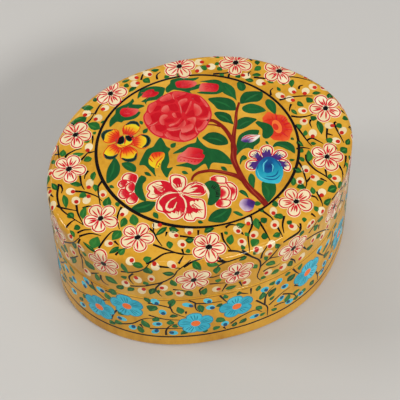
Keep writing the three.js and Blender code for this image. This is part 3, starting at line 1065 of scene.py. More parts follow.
DARK_LEAVES = [
    [(13.1, 24.8), (16.2, 24.5), (18.6, 23.6), (20.8, 22.2), (22.3, 20.4), (22.7, 18.4), (22.1, 16.2),
     (21.3, 15), (18.3, 16.2), (16, 17.3), (14.7, 18.7), (14.2, 21)],
    [(12.7, 16.9), (14.6, 17), (16.6, 16), (18.1, 14.4), (18.6, 12.8), (18.2, 10.6), (18, 8.5), (16.4, 10),
     (14.4, 11.5), (13.2, 13.4)],
    [(20.2, 30.1), (21.6, 30.8), (23.3, 29.9), (24.9, 27.2), (25.2, 24.8), (24.4, 22), (23.7, 19.6),
     (23, 21.4), (21, 23.9), (20, 26)],
    [(24.6, 17.4), (25.2, 19.6), (26.6, 21.4), (28.6, 22.5), (30.8, 22.1), (33.2, 21.3), (35.3, 19.9),
     (34.8, 18), (33.6, 16.5), (31.6, 15.9), (29.2, 16.6), (26.6, 17)],
    [(24.1, 14.6), (25, 15.8), (27.6, 16.2), (29.4, 15.6), (31.2, 14), (32.4, 12.4), (33, 10.3),
     (30.6, 10.1), (28, 10.6), (25.8, 11.7), (24.5, 13.1)],
    [(26.6, 26), (27.3, 28.2), (28.4, 28.9), (29.9, 27.2), (30.2, 25.4), (29.4, 23.9), (27.8, 23.4),
     (26.8, 24.4)],
    [(35.9, 7), (34.9, 8.8), (34.1, 11.4), (34, 13.4), (34.6, 15), (35.6, 15.7), (36.9, 15.1), (37.9, 13),
     (37.8, 11), (36.8, 8.6)],
    [(18.1, 5.8), (18.6, 7.6), (20, 9.7), (22.2, 10.5), (24.6, 10.1), (27.8, 7.6), (25.4, 6.4), (22.6, 5.4),
     (20.2, 5.1)],
    [(3.5, 6.8), (5, 7.6), (6.8, 8.3), (8.8, 8), (10.7, 6.8), (12.2, 4.6), (12.8, 2.2), (12.2, 0.2),
     (9.7, 0.4), (7.5, 1.4), (5.6, 3.2), (4.4, 5.1)],
    [(13.7, -23.9), (12.9, -21.8), (13.1, -19), (14.3, -17.2), (15.3, -16.5), (16.1, -17.8), (16, -19.8),
     (15, -21.6)],
    [(12.9, -11.2), (13.4, -9.4), (14.5, -7.9), (15.9, -7.2), (16.8, -8.3), (16.4, -9.6), (14.6, -9.7)],
    [(28.4, -7.9), (29.6, -6.5), (31.2, -6), (33.2, -6.5), (35.1, -7.5), (36.4, -9.4), (36.6, -11.4),
     (35.5, -14), (34.5, -12.4), (33.3, -11), (31.8, -9.2), (30.3, -8.1)],
    [(18, -22), (20.4, -23), (22.5, -24.4), (22, -27), (20.6, -29.3), (18.2, -31), (16.4, -31.9),
     (16, -29.5), (16, -27), (16.7, -24.6)],
    [(-35, -15), (-33.6, -14), (-31.4, -13.5), (-28.4, -13.4), (-26.4, -14.4), (-24.5, -15.6), (-25.8, -17),
     (-28, -18.5), (-30.6, -18.5), (-32.6, -17.8), (-34.2, -16.6)],
    [(-8.7, -31.2), (-7.2, -29.3), (-5.4, -28.2), (-3.2, -27.7), (-1, -28), (0.2, -28.7), (1.9, -28.9),
     (1.5, -30.6), (-0.3, -32.6), (-1.9, -33.9), (-3.9, -34.1), (-5.9, -33.3), (-7.7, -32.2)],
    [(1.8, -30.9), (3.4, -31.2), (4.4, -32.3), (5.2, -34), (4.2, -34.1), (2.8, -32.8)],
    [(7.6, -22.9), (8.6, -22.4), (9.7, -23.2), (10.3, -24.8), (10.1, -27.4), (9.4, -26), (8.4, -24.6)],
    [(13, -6.6), (14.1, -4.6), (15, -1.9), (16.4, 0.6), (18.2, 2.6), (21.5, 3.6), (24.2, 3.3), (26.6, 1.9),
     (25.5, 0.4), (25.4, -1.4), (24.4, -3.7), (21.4, -5), (20.7, -6.2), (19.2, -4.7), (16.8, -4.5),
     (14.8, -5.5)],
    [(-39.6, 0.2), (-38.9, 3.4), (-37, 7), (-34.4, 9.6), (-32.6, 10.9), (-31.9, 8.6), (-32.2, 5.4),
     (-34, 2.4), (-36.6, 0.8)],
    [(-27.4, 1.1), (-26.2, 3.2), (-26.8, 5.4), (-28.6, 7), (-31, 7.3), (-30.9, 5.2), (-29.8, 3)]]
for outline in DARK_LEAVES:
    draw_shape("lid_dark_leaves", 1, outline, vary(0.45, 0.2))
    lift_streak("lid_leaf_lights", outline, vary(0.8, 0.2), 2)

SMALL_DARK_LEAVES = [
    ((-39.2, -1.1), (-37.7, -2.9), 1.4), ((-27.2, -19.6), (-26.6, -23.2), 1.9),
    ((5.4, -9.2), (7.1, -12.1), 1.6), ((-24, -0.3), (-22, -3.2), 1.5), ((-10, -5.6), (-8, -7.7), 1.5),
    ((-9.9, 7), (-7.2, 8.6), 2), ((-12.6, -30), (-10.8, -31.5), 1.4), ((0.5, 8.2), (2.4, 10.8), 1.6),
    ((11, -30.2), (13.8, -31.6), 2), ((26.9, -4), (27.4, -6.1), 1), ((37, -6.1), (37.9, -7.6), 1.2),
    ((-17.8, 18), (-15.2, 19.8), 1.8), ((-17.4, 23.4), (-15.8, 23.6), 2)]
for stalk, tip, width in SMALL_DARK_LEAVES:
    length = math.dist(stalk, tip)
    press_mark("lid_dark_leaves", BROAD_LEAF, stalk, (length / 2, 0), (length, width),
               direction(stalk, tip), 1, on_top, vary(0.5, 0.2))
print("dark leaves", len(DARK_LEAVES) + len(SMALL_DARK_LEAVES))

# %% [markdown]
# ## The rose
# The rose is a red disc with a lobed edge. Its petals are pairs of touches: crimson in the folds
# and coral where a petal curls into the light. A coral touch melts back into the red, so its tint
# fades towards the place where the brush was lifted.

# %% Rose
ROSE_EDGE = [
    (-15.2, 22.1), (-14.6, 26), (-12.4, 28.2), (-10.6, 30.8), (-7, 31.7), (-3.8, 33), (1, 33.6),
    (4.4, 32.2), (7.2, 30), (10.1, 27.8), (11.6, 24), (12, 20.4), (11.2, 16.4), (9, 13.6), (6.2, 11),
    (3.4, 9.8), (1, 8.2), (-2.6, 7.7), (-6, 8.9), (-9.4, 11.6), (-12.6, 14.3), (-14.4, 17.4)]
draw_shape("lid_rose", 2, ROSE_EDGE, 0.8, grow=0.35)
draw_shape("lid_rose", 3, ROSE_EDGE, 0.36, rings=(0.96,))
ROSE_FOLDS = [
    [(-5.9, 30), (-2.2, 30.3), (0.1, 29.8), (-0.4, 28.2), (-3.1, 28.4)],
    [(1.2, 30.2), (3.8, 30.4), (6.1, 30.3), (4, 28.8), (1.4, 27.8)],
    [(-10, 28.2), (-7.8, 29.3), (-6.2, 28.4), (-7.1, 27), (-9.6, 26.7)],
    [(-11.9, 25.2), (-9.2, 25.9), (-7.4, 24.9), (-9.6, 22), (-12, 21.8)],
    [(-3.2, 27.6), (-0.4, 27.3), (0, 25.2), (-0.6, 23.4), (-3.2, 24.6)],
    [(1.3, 24.6), (4.6, 26.2), (5.3, 25.4), (3.3, 22.9), (1.3, 21.7)],
    [(1.4, 20), (4.9, 21.8), (5.2, 19.8), (4.6, 18.4), (2.4, 19)],
    [(6.9, 28.4), (9.2, 28.3), (10.2, 25.8), (9.2, 24), (7.9, 25.6)],
    [(8.8, 22.2), (10.6, 22), (11.1, 19.6), (9.8, 16.9), (6.2, 17.4), (8.8, 19)],
    [(4.4, 15.9), (6.6, 14.7), (6, 12.9), (3.2, 12.6), (3.6, 14.4)],
    [(0.3, 15.8), (1.9, 17.3), (1.7, 15.2), (0.2, 15)],
    [(-6.4, 16.5), (-2.2, 17.2), (0, 19.2), (-1, 16.6), (-4.1, 15.5)],
    [(-8.2, 14.5), (-3.2, 14), (-3.8, 11.8), (-5.5, 10.9), (-7.8, 12.8)],
    [(-2.7, 11.6), (2.1, 12), (2.2, 10.8), (-0.4, 10.2), (-2.9, 10.6)],
    [(-12, 19.8), (-9.4, 19.4), (-7.9, 18.3), (-8.4, 16.4), (-11, 16.2), (-12.2, 18)],
    [(-1.9, 22.8), (-0.3, 22.4), (-0.3, 20), (-2, 20.1)],
    [(-7.3, 21), (-4.2, 20.8), (-4, 18.9), (-6.9, 19.3)]]
for outline in ROSE_FOLDS:
    draw_shape("lid_rose", 4, outline, vary(0.05, 0.05), step=0.7)
# Each coral touch has its outline, the place where it has melted away, and how far that is.
ROSE_CURLS = [
    ([(-5.7, 31.9), (-3.6, 33), (-0.8, 33.4), (-0.4, 30.7), (-2.6, 30.3), (-4.8, 30.6)], (-2.4, 29.2), 4),
    ([(0.6, 33.2), (2.8, 33), (5.8, 30.9), (3.2, 30.5), (0.8, 30.6)], (2.4, 29.6), 4.6),
    ([(-11.7, 28.9), (-10.3, 30.7), (-7.4, 31.3), (-7.6, 29.6), (-10, 27.4), (-11.7, 26.8)], (-7.6, 27.6),
     5),
    ([(-14.4, 25.8), (-12.8, 27.5), (-12, 26), (-12.4, 22.4), (-14.4, 21.2), (-14.9, 23.2)], (-10.4, 24.4),
     4.8),
    ([(-13.6, 20.2), (-12.1, 20), (-12.4, 17.1), (-10.4, 15.2), (-11.2, 13.7), (-13.7, 16), (-14.5, 18.6)],
     (-9.6, 18), 5),
    ([(-9.4, 14.2), (-8.4, 15), (-8.2, 12.8), (-5, 10.3), (-5.8, 9.2), (-8.8, 11.3)], (-5.4, 13.4), 5),
    ([(-4.6, 9.6), (-3.5, 11.8), (-2.9, 10.3), (1.8, 9.8), (1.9, 8.9), (-1, 8), (-3.6, 8.2)], (-0.4, 12.4),
     4.6),
    ([(-3.1, 13.4), (-2.2, 14.8), (2.3, 15.2), (2.4, 13.4), (0.6, 12.1), (-2.9, 12.2)], (0.2, 16.4), 3.8),
    ([(1.2, 18.2), (4.7, 17.8), (4.4, 16), (2.6, 13.8), (2.4, 16)], (1.4, 15.4), 3.2),
    ([(3.2, 11.6), (5.2, 12.6), (7.6, 14.6), (8.8, 13.8), (6.4, 11.3), (4, 10.6)], (4.4, 15), 4.4),
    ([(5.2, 17.2), (8.6, 15.9), (9.8, 15.6), (9, 14.7), (6.6, 15.5)], (6.4, 17.6), 3),
    ([(7, 24.6), (8.5, 22.4), (8.4, 19.6), (6.8, 18.2), (5.1, 18.5), (5.6, 21.4), (6.3, 23.5)], (4.6, 20.4),
     4),
    ([(10.4, 27), (11.5, 24), (11.8, 20.6), (10.9, 21), (10.3, 24)], (8.8, 23), 3.2),
    ([(11.3, 18.6), (10.9, 16), (9.6, 14.4), (9.4, 15.9)], (8.4, 18.4), 3.4),
    ([(1, 27.6), (2.6, 28.6), (5, 28.3), (4.8, 26.9), (2.6, 26.2), (1, 25.4)], (3.2, 24.8), 3.6),
    ([(6.3, 26.4), (5.9, 24.8), (3.3, 21.8), (1.6, 20.9), (3.4, 23.2), (5.2, 25.4)], (6, 21.6), 5),
    ([(-5.6, 27.8), (-3.6, 27.9), (-3.6, 25.4), (-5, 24.2), (-7, 25.8)], (-4.4, 23), 4.4),
    ([(-8.4, 23.4), (-6.6, 23.9), (-5.2, 22.9), (-6.2, 21.9), (-8.2, 21.6), (-8.2, 18.7), (-9.4, 19.4),
      (-9.5, 21.6)], (-6, 20), 3.8),
    ([(-3.5, 22.9), (-2.3, 23.2), (-2, 21.7), (-2.3, 20.4), (-3.3, 20.9)], (-1.4, 21), 2),
    ([(-8.1, 16.6), (-4.6, 14.9), (-1.3, 16), (0.2, 18.1), (0.1, 16.2), (-1.4, 14.8), (-4, 14.1),
      (-7.2, 15)], (-3.2, 17.6), 4.2),
    ([(-6.9, 18), (-2.8, 18.5), (-0.9, 19.6), (-2.7, 17.7), (-6.6, 17.1)], (-3.4, 20), 3)]
for outline, melted, reach in ROSE_CURLS:
    draw_shape("lid_rose", 5, outline, 0.25, melted, reach, step=0.7)
ROSE_LINES = [
    [(1.2, 27), (0.9, 24.4), (0.2, 21.6)], [(-10.2, 21.3), (-12.2, 20.7), (-14.6, 20.5)],
    [(0, 29.6), (0.3, 32.8)], [(-4.6, 8.8), (-4.4, 11), (-3.4, 13.2)], [(2.9, 8.9), (2.7, 11), (3.1, 13)],
    [(-9.4, 12), (-9.8, 14.6)]]
draw_lines("lid_rose_lines", 0.5, 6, ROSE_LINES, step=0.8)
draw_line("lid_crimson", ROSE_EDGE, 0.45, 6, closed=True)
print("rose touches", len(ROSE_FOLDS) + len(ROSE_CURLS))

# %% [markdown]
# ## The large pink flower
# Its petals are cream with a crimson edge. Crimson is dragged outwards from the heart in tongues,
# and on the lowest petals cream lines were left bare or drawn over it.

# %% Large flower
# Each petal of a flower lies this part of a level over the one before it.
OVERLAP = 0.4


def hatch(name, heart, first, last, near, far, count, width, level):
    """Fine brush hairs that fan out between two directions, from near to far off a heart."""
    for i in range(count):
        turn = first + (last - first) * i / max(count - 1, 1) + vary(0, 1.5)
        hair = spokes(heart, (1, 1), (turn, near), (turn, far * vary(1, 0.12)))
        draw_line(name, hair, width * vary(1, 0.2), level, step=1)


def edged_petal(outline, level, tint=0.7, heart=None, reach=8, edge=0.62):
    """A petal with a pale fringe and a crimson edge. With a heart, crimson fades into cream."""
    draw_shape("lid_cream", level, outline, 0.9, grow=0.32)
    draw_shape("lid_crimson", level + 1, outline, 0.5, grow=0.1)
    draw_shape("lid_blush", level + 2, outline, tint, heart, reach, grow=0.1 - edge)


FLOWER_PETALS = [
    [(-14.9, -14.8), (-16.2, -11.6), (-16.2, -9.4), (-17.9, -7.4), (-20.9, -6.2), (-24.4, -6.7),
     (-26, -8.6), (-25.4, -9.8), (-27.2, -11.5), (-25.5, -13.8), (-22.2, -13.7), (-18.4, -13.3)],
    [(-14.4, -14.6), (-15.8, -12.2), (-16.4, -10), (-15.6, -6.6), (-14.3, -5.8), (-12.5, -6.2),
     (-10.2, -8.1), (-9.7, -9.8), (-10.8, -12.4), (-13, -14.1)],
    [(-13.8, -14.9), (-11.9, -13.5), (-9.1, -12.3), (-6, -13), (-3.9, -15.6), (-4.4, -18.2), (-6.7, -19.3),
     (-10, -17.8), (-12.8, -15.8)],
    [(-13.8, -16), (-10.6, -19.1), (-7.8, -20.6), (-6.8, -22.5), (-7.8, -26.6), (-9.7, -29.8),
     (-12.6, -28.5), (-13.8, -29.4), (-16.4, -28.3), (-17.1, -26.3), (-15.1, -24), (-13.7, -20.2)],
    [(-14.8, -15), (-17.1, -13.5), (-20.7, -13.1), (-23.8, -14.8), (-25.7, -19), (-23.4, -21.5),
     (-22, -25.1), (-19.2, -26.1), (-16.4, -25), (-14.1, -21.9), (-13.6, -19.5), (-14.1, -17.4)]]
for number, outline in enumerate(FLOWER_PETALS):
    edged_petal(outline, 1 + OVERLAP * number, 0.95)
FLOWER_TONGUES = [
    [(-15, -14.6), (-16.3, -11.6), (-16.4, -9.8), (-17.8, -8), (-19.6, -7), (-19.5, -8.6), (-20.6, -8.4),
     (-19.4, -9.8), (-20.4, -10.6), (-19.2, -11), (-20.8, -12), (-22, -10.4), (-22.4, -8.8), (-23.5, -7.4),
     (-23.2, -9.4), (-23.8, -10.6), (-23.4, -12.2), (-21.8, -13), (-18, -13)],
    [(-15.2, -9.6), (-14.9, -8.3), (-13.6, -7.6), (-12.3, -8), (-11.8, -9.2), (-12.4, -11.6),
     (-12.8, -10.8), (-13.4, -12.6), (-13.7, -10.8), (-14.4, -12.6), (-14.6, -10.8)],
    [(-13.4, -15.7), (-10.5, -16.2), (-8.4, -16), (-7, -15.3), (-8.6, -14.7), (-10.4, -14.5), (-7.6, -13.8),
     (-5.6, -14.4), (-4.7, -15.8), (-4.9, -17.8), (-6.2, -18.7), (-8.6, -18), (-11, -17)],
    [(-13.5, -16.6), (-10.6, -19.2), (-8.4, -20.4), (-9.2, -21.6), (-9.8, -20.6), (-10.6, -21.4),
     (-11, -20.5), (-12.2, -20.6), (-12.6, -22.6), (-11.6, -23.8), (-9.4, -25.2), (-8.4, -26),
     (-10.6, -25.7), (-11.6, -26.4), (-12.8, -25.3), (-13.8, -25.8), (-15.4, -24.8), (-14.4, -22.6),
     (-13.9, -19.8)],
    [(-15, -15.2), (-17.2, -13.9), (-20.4, -13.7), (-22.6, -14.8), (-23.8, -16.4), (-23.4, -19),
     (-23.6, -20.6), (-22.8, -21.8), (-21.2, -22.8), (-20.6, -22.2), (-19.6, -23.4), (-18.8, -22.4),
     (-18, -23.6), (-17.2, -22.8), (-16.6, -24.2), (-15.2, -23.4), (-14.2, -20.6), (-14.3, -17.4)]]
for outline in FLOWER_TONGUES:
    draw_shape("lid_crimson", 6, outline, 0.4, step=0.6)
FLOWER_LINES = [
    ([(-15.2, -14.7), (-17.2, -13.9), (-19.6, -13.6), (-22, -14.3), (-24.2, -16.2)], 0.65),
    ([(-14.9, -15.8), (-13.9, -18), (-14, -20.6), (-14.8, -22.8), (-16.4, -24.8)], 0.65),
    ([(-16.5, -16.5), (-19.2, -16.9), (-20.9, -18.1), (-21.9, -19.9), (-21.2, -21.3), (-19.6, -21.3),
      (-18.2, -20), (-17.1, -18.6)], 0.8),
    ([(-21.9, -19.4), (-21.2, -20.8), (-19.4, -21.2), (-18.4, -20.6)], 1.2),
    ([(-13, -15.3), (-10, -15.1), (-7.2, -15.7)], 0.75),
    ([(-11.2, -16.5), (-9, -17.6), (-6.6, -18.3)], 0.6),
    ([(-14.6, -14.2), (-15.8, -11.4), (-15.9, -9.4)], 0.5),
    ([(-13.9, -14.4), (-11.6, -12.4), (-10.8, -10.2)], 0.5), ([(-13.9, -15.4), (-14.5, -15.9)], 0.6)]
for points, width in FLOWER_LINES:
    draw_line("lid_cream", points, width, 7, belly, step=0.8)
# Each fan of hairs has its heart, its two directions, its two reaches, its number of hairs and
# their width.
FLOWER_HAIRS = [
    ((-14.8, -14.8), 134, 168, 6, 9.8, 9, 0.42), ((-14.8, -14.8), 222, 262, 7.4, 10.2, 10, 0.42),
    ((-14, -16), -95, -62, 6.4, 11, 7, 0.4), ((-14, -14.6), -8, 20, 5, 8.6, 5, 0.36),
    ((-14.2, -14.8), 60, 104, 2.4, 5, 6, 0.4), ((-15.4, -15), 205, 225, 4, 6, 3, 0.4)]
for fan in FLOWER_HAIRS:
    hatch("lid_crimson", *fan, 7)

# %% Two half-hidden flowers beside it
# Each lobe has its outline, the place where it is crimson and how far it takes to turn cream.
HALF_FLOWER_LOBES = [
    ([(-32, -1.3), (-31.9, -2.6), (-32.8, -3.6), (-34, -4.1), (-35.2, -4.2), (-36, -2.6), (-35.4, -1.3),
      (-34.2, -0.6), (-32.9, -0.7)], (-32.2, -2.3), 4.4),
    ([(-33.6, -0.6), (-33.4, 0.4), (-32.4, 1.3), (-31, 1.8), (-29.4, 1.4), (-28.3, 0.6), (-27.4, -0.4),
      (-27.4, -1.6), (-28.4, -3.2), (-29.6, -4), (-31.2, -2.4), (-32.2, -1.4)], (-28.2, -1.8), 5),
    ([(-37.5, -7.1), (-36.5, -5.3), (-35.2, -4.4), (-34, -4.9), (-33.4, -6.6), (-32.9, -7.6), (-33.2, -8.6),
      (-35.6, -9.6), (-36.8, -9)], (-33.2, -7), 5),
    ([(-35.5, -10.9), (-35, -9.6), (-32.9, -8.4), (-31.3, -7.8), (-30.7, -9), (-30.5, -11), (-31.7, -12.6),
      (-33.3, -13), (-34.9, -12.4)], (-30.6, -9.8), 5.4),
    ([(-34, -4.8), (-33.1, -3.6), (-31.6, -2.9), (-30.1, -3), (-29.6, -4.4), (-30, -5.8), (-30.9, -7.1),
      (-32, -7.8), (-33.3, -7.4), (-33.8, -6.2)], (-30.2, -5.6), 4),
    ([(4.3, -17.5), (5.7, -17.3), (6.8, -18.4), (7.6, -20.8), (7.1, -22.6), (6, -24.6), (4.3, -26.2),
      (3, -25.4), (4, -23.4), (4.8, -21)], (4.4, -21.6), 3.8),
    ([(-0.9, -13.9), (-0.4, -12.8), (0.6, -12.5), (2.2, -12.6), (4.6, -13.9), (5.4, -15.2), (5, -16.4),
      (4.2, -17.6), (2.6, -17), (1.2, -16.4), (0.2, -15)], (-0.4, -13.8), 3.4),
    ([(-3.3, -25.6), (-2.8, -24.7), (-1.5, -23.6), (0, -23.8), (1.6, -24.6), (2.9, -25.3), (3, -26.4),
      (2, -27.6), (0.4, -28.1), (-1.6, -27.5), (-2.8, -26.6)], (-2.6, -24.8), 4.4),
    ([(1.5, -18), (2.9, -18.2), (4.1, -19.2), (4.4, -20.8), (3.9, -22.6), (2.7, -24), (1.3, -24.5),
      (-0.3, -23.8), (0.2, -21.4), (0.9, -19.4)], (0.5, -21), 3.8)]
for number, (outline, heart, reach) in enumerate(HALF_FLOWER_LOBES):
    edged_petal(outline, 1 + OVERLAP * (number % 5), -0.35, heart, 0.8 * reach, 0.6)
    toward = direction(heart, np.mean(outline, axis=0))
    hatch("lid_crimson", heart, toward - 44, toward + 44, 1, reach * 0.62, count=6, width=0.45, level=5)
CALYX_LEAVES = [
    [(-24.6, -2.2), (-24.2, -3.2), (-24.8, -4.4), (-26.3, -5.3), (-27.2, -7), (-27.7, -10), (-28, -13.4),
     (-29.6, -12.7), (-30.6, -10.4), (-30.9, -8), (-30, -5.6), (-28.4, -3.6), (-26.8, -1.9), (-25.6, -1.3)],
    [(-3.8, -14.5), (-2.6, -14), (-1, -13.9), (0.4, -14.7), (1.4, -16.6), (1.3, -18.9), (0.6, -21.2),
     (-0.9, -23.4), (-3.1, -24.7), (-4.8, -25.1), (-6.2, -24.2), (-5.6, -22.9), (-4.2, -20.6),
     (-3.3, -18.6), (-3.4, -16.4)]]
for outline in CALYX_LEAVES:
    draw_shape("lid_dark_leaves", 6, outline, 0.4)
draw_line("lid_cream", [(-4.6, -15), (-4, -17.2), (-4, -19.6), (-4.8, -21.6)], 1, 5, belly)
hatch("lid_twigs", (-4.4, -19.6), -38, 42, 3.4, 5, count=9, width=0.4, level=7)

# %% [markdown]
# ## The yellow flower
# Its petals go from red at the heart to strong yellow, each with a dark teal crescent at its tip
# and red hairs pulled out from the heart.

# %% Yellow flower
YELLOW_HEART = (-26.4, 17.2)
# Each petal has its outline and the line of its dark crescent.
YELLOW_PETALS = [
    ([(-34, 20.6), (-33.6, 22.6), (-32.8, 24.3), (-31.2, 25.1), (-29.4, 24.9), (-27.4, 24.2), (-26.7, 22.4),
      (-27.4, 20.6), (-29, 19.2), (-30.8, 18.5), (-32.8, 19)], [(-33.9, 20.8), (-33.1, 23.7), (-31.2, 24.7),
      (-28.6, 24.4)]),
    ([(-25.2, 21.7), (-24.6, 23.6), (-22.8, 25), (-20.7, 25.6), (-18.8, 24.6), (-17.8, 22.8), (-18, 21.2),
      (-20, 19.4), (-22.1, 18.9), (-23.8, 20)], [(-22.9, 24.7), (-20.6, 25.1), (-18.6, 24), (-18.1, 21.8)]),
    ([(-23, 15.8), (-21.4, 17), (-19, 17.9), (-17.4, 17), (-16.5, 15.1), (-16.8, 13), (-18.2, 11.5),
      (-20.2, 10.8), (-22.1, 11.9), (-23, 13.6)], [(-18.9, 17.5), (-17, 15.9), (-17, 13.6), (-18.4, 11.9),
      (-20.6, 11.3)]),
    ([(-29.9, 11.1), (-29, 12.8), (-27, 13.9), (-24.8, 13.6), (-23.3, 11.2), (-23.8, 8.6), (-25.3, 7),
      (-27.2, 6.8), (-29.3, 8), (-30.4, 9.7)], [(-30, 9.6), (-28.9, 8.1), (-27, 7.2), (-25.2, 7.4),
      (-23.8, 9.6)]),
    ([(-30.1, 16.2), (-31.4, 17.6), (-33.4, 17), (-35.6, 15.3), (-36.4, 13.4), (-35.6, 11.7), (-33.1, 10.8),
      (-31, 11.9), (-29.9, 14.2)], [(-35.9, 14.2), (-35.4, 12.2), (-33.2, 11.2), (-30.9, 12.1)])]
for number, (outline, crescent) in enumerate(YELLOW_PETALS):
    level = 1 + OVERLAP * number
    draw_shape("lid_red_strokes", level, outline, 0.4, grow=0.15)
    draw_shape("lid_yellow", level + 1, outline, -0.75, YELLOW_HEART, 9.6, 1.15, grow=-0.15,
               rings=(0.7, 0.4))
    draw_line("lid_teal", crescent, 1.75, 5, belly)
    draw_line("lid_twigs", crescent, 0.6, 6, belly)
    turn = direction(YELLOW_HEART, np.mean(outline, axis=0))
    hatch("lid_red_strokes", YELLOW_HEART, turn - 26, turn + 26, 3.4, 7, count=6, width=0.5, level=5)
YELLOW_MIDDLE = [
    (-29.7, 17.2), (-28.9, 18.4), (-27.6, 19.8), (-25.6, 20), (-24, 19), (-22.5, 19.1), (-21.8, 17.6),
    (-23.5, 15.3), (-25.2, 14.6), (-28.5, 14.5), (-29.8, 15.8)]
MIDDLE_LINES = [
    [(-29.9, 16.6), (-28.9, 18.4), (-27.6, 19.9), (-25.6, 20.1)],
    [(-22.2, 17), (-23.6, 15.2), (-25.4, 14.5), (-28.4, 14.4), (-29.9, 15.8)]]
DARK_SPOTS = [
    [(-29.5, 17.6), (-28.9, 19.1), (-27.4, 19.9), (-25.8, 19.8), (-26, 17.8), (-26.9, 16.5), (-28.3, 16.3)],
    [(-25, 19.5), (-23.7, 19.2), (-22.3, 18.9), (-22, 17.6), (-22.9, 16.5), (-24.2, 16.2), (-25.1, 17.4)]]
draw_shape("lid_yellow", 4, YELLOW_MIDDLE, 0.95)
draw_lines("lid_red_strokes", 0.6, 6, MIDDLE_LINES)
for spot in DARK_SPOTS:
    draw_shape("lid_teal", 4.5, spot, 0.9, grow=0.2)
    draw_shape("lid_twigs", 5, spot, 0.3, grow=-0.1)
draw_line("lid_red_strokes", [(-25.2, 19.2), (-25.7, 17.5), (-26.8, 15.6)], 0.6, 6, belly)
draw_line("lid_red_strokes", [(-29.2, 16.4), (-28, 15.2), (-26.4, 14.9)], 0.5, 6, belly)

# %% [markdown]
# ## Buds
# A bud is a bright shape hugged by ragged dark sepals. The red ones are crimson at the core and
# coral at the tip, and the yellow one has red strokes pulled down from its top.

# %% Sepals and red buds
SEPALS = [
    [(-29.3, 26.2), (-28.8, 28.4), (-27.6, 30.1), (-25, 32), (-24, 34), (-22, 34.8), (-18.7, 35.1),
     (-17.1, 35.7), (-15.6, 36.7), (-15.6, 34.9), (-16.7, 34), (-13.3, 32.3), (-12.5, 31), (-15, 30.7),
     (-17, 30.2), (-15, 28.8), (-17.3, 26.8), (-20, 26.5), (-23, 27.1), (-24, 26.6), (-25.7, 27.7),
     (-27.7, 26.9)],
    [(-13.8, 35.9), (-12.4, 38.6), (-11, 39.7), (-8, 40), (-5, 39.5), (-2, 37.7), (-1.4, 36.5),
     (-3.3, 33.7), (-4.6, 32.7), (-6, 32.2), (-10.6, 32.9), (-11.6, 31.3), (-11.8, 33), (-13, 33.8),
     (-10.9, 34.6), (-9, 35.5), (-10, 37), (-12, 36.6)],
    [(-1.2, 34.1), (-1.6, 35.6), (-0.8, 37), (1.4, 38.4), (2.4, 40), (5, 40), (7.6, 39.4), (10.2, 37.9),
     (13.8, 37), (12, 36.1), (9, 36), (9, 34), (13.1, 33.3), (11.6, 31.4), (7.6, 31.4), (8.1, 29.8),
     (6.2, 31.3), (4.9, 32.6), (3, 33.9), (1.4, 34.7)],
    [(13.3, 34.7), (18, 33.9), (20.2, 33), (21.8, 31.2), (22.2, 29), (21.6, 26.4), (19.6, 25.9),
     (17.2, 25.8), (13.2, 27.4), (10, 29.5), (12.6, 29.5), (15, 30), (17, 31.5), (15.5, 33.4)],
    [(-12.1, 13.4), (-14.6, 11.8), (-16.4, 10.2), (-19.3, 9.8), (-22.3, 6.9), (-24.7, 3.8), (-22.8, 2.8),
     (-21.4, -1.2), (-20.5, -4), (-19.8, -1), (-18, 3), (-16, 2), (-17.3, -1.4), (-16.6, -6.2),
     (-14.6, -4.1), (-12.5, -2.3), (-14.8, -1.8), (-12.8, 1), (-11.6, 5.2), (-10.2, 6.5), (-11.3, 8.4),
     (-11.4, 11)],
    [(-10.2, 3.8), (-6.7, 5.2), (-2.6, 6), (0.3, 5.8), (1.9, 8.3), (2.2, 5.6), (3.9, 1.6), (7.7, -1.2),
     (9.7, -5), (10.4, -9.8), (6.4, -7.9), (2.8, -6.3), (0.3, -8.9), (0, -5.6), (-3.4, -6.5), (-6.1, -7.3),
     (-6, -5.6), (-8.7, -3.6), (-11.2, -2), (-5, -2), (-5, 2.5)]]
for outline in SEPALS:
    draw_shape("lid_dark_leaves", 1, outline, vary(0.4, 0.1), step=0.7)

# Each red bud has its outline, its crimson core and the direction of its tip.
RED_BUDS = [
    ([(-23.1, 31.7), (-21.6, 33.4), (-19.7, 33.1), (-16.7, 31.5), (-15.2, 30.2), (-17.3, 28.5),
      (-20.5, 28.3), (-22.5, 29.3)], (-22.4, 29.8), 20),
    ([(-12, 36), (-10, 38), (-8, 38.6), (-5.8, 38), (-6, 36.9), (-4.4, 35.6), (-6.7, 34.3), (-10, 35)],
     (-6.6, 36.8), 190),
    ([(3.3, 35.8), (3.7, 38), (5.7, 38.3), (9.8, 36.7), (11.9, 34.9), (10.8, 33.3), (7.4, 33.3), (4, 34.8)],
     (4.6, 34.6), 25),
    ([(11.3, 30.5), (13.4, 33.4), (16.4, 32.6), (19.6, 30.6), (19.5, 28.8), (17.8, 27.1), (14.8, 28.2),
      (11.6, 29.7)], (19, 30.4), 195),
    ([(-9.9, -0.5), (-9.5, 1), (-8.3, 2.4), (-5.4, 3.4), (-4, 4.2), (-2.6, 4.3), (0.9, 2), (1.6, 0.6),
      (0.9, -0.5), (1.4, -1.8), (-0.8, -3.9), (-3.8, -4.6), (-6.7, -2.1), (-8.5, -1.4)], (0.2, -0.4), 190)]
for outline, core, turn in RED_BUDS:
    draw_shape("lid_rose", 3, outline, -0.1, core, 6.6, step=0.7)
    hatch("lid_crimson", core, turn - 24, turn + 24, 0.4, 4.6, count=4, width=0.6, level=4)
BUD_FOLD = [(-9.6, 0.9), (-8.1, 1.8), (-6.7, 0.9), (-4.9, -0.5), (-1.3, -2.5), (0, -2.9)]
FOLD_SHADE = [(-9.4, 0.4), (-7.9, 1.3), (-6.6, 0.4), (-4.7, -1), (-1.3, -3)]
draw_line("lid_rose_lines", BUD_FOLD, 0.6, 5, belly)
draw_line("lid_crimson", FOLD_SHADE, 0.5, 5, belly)
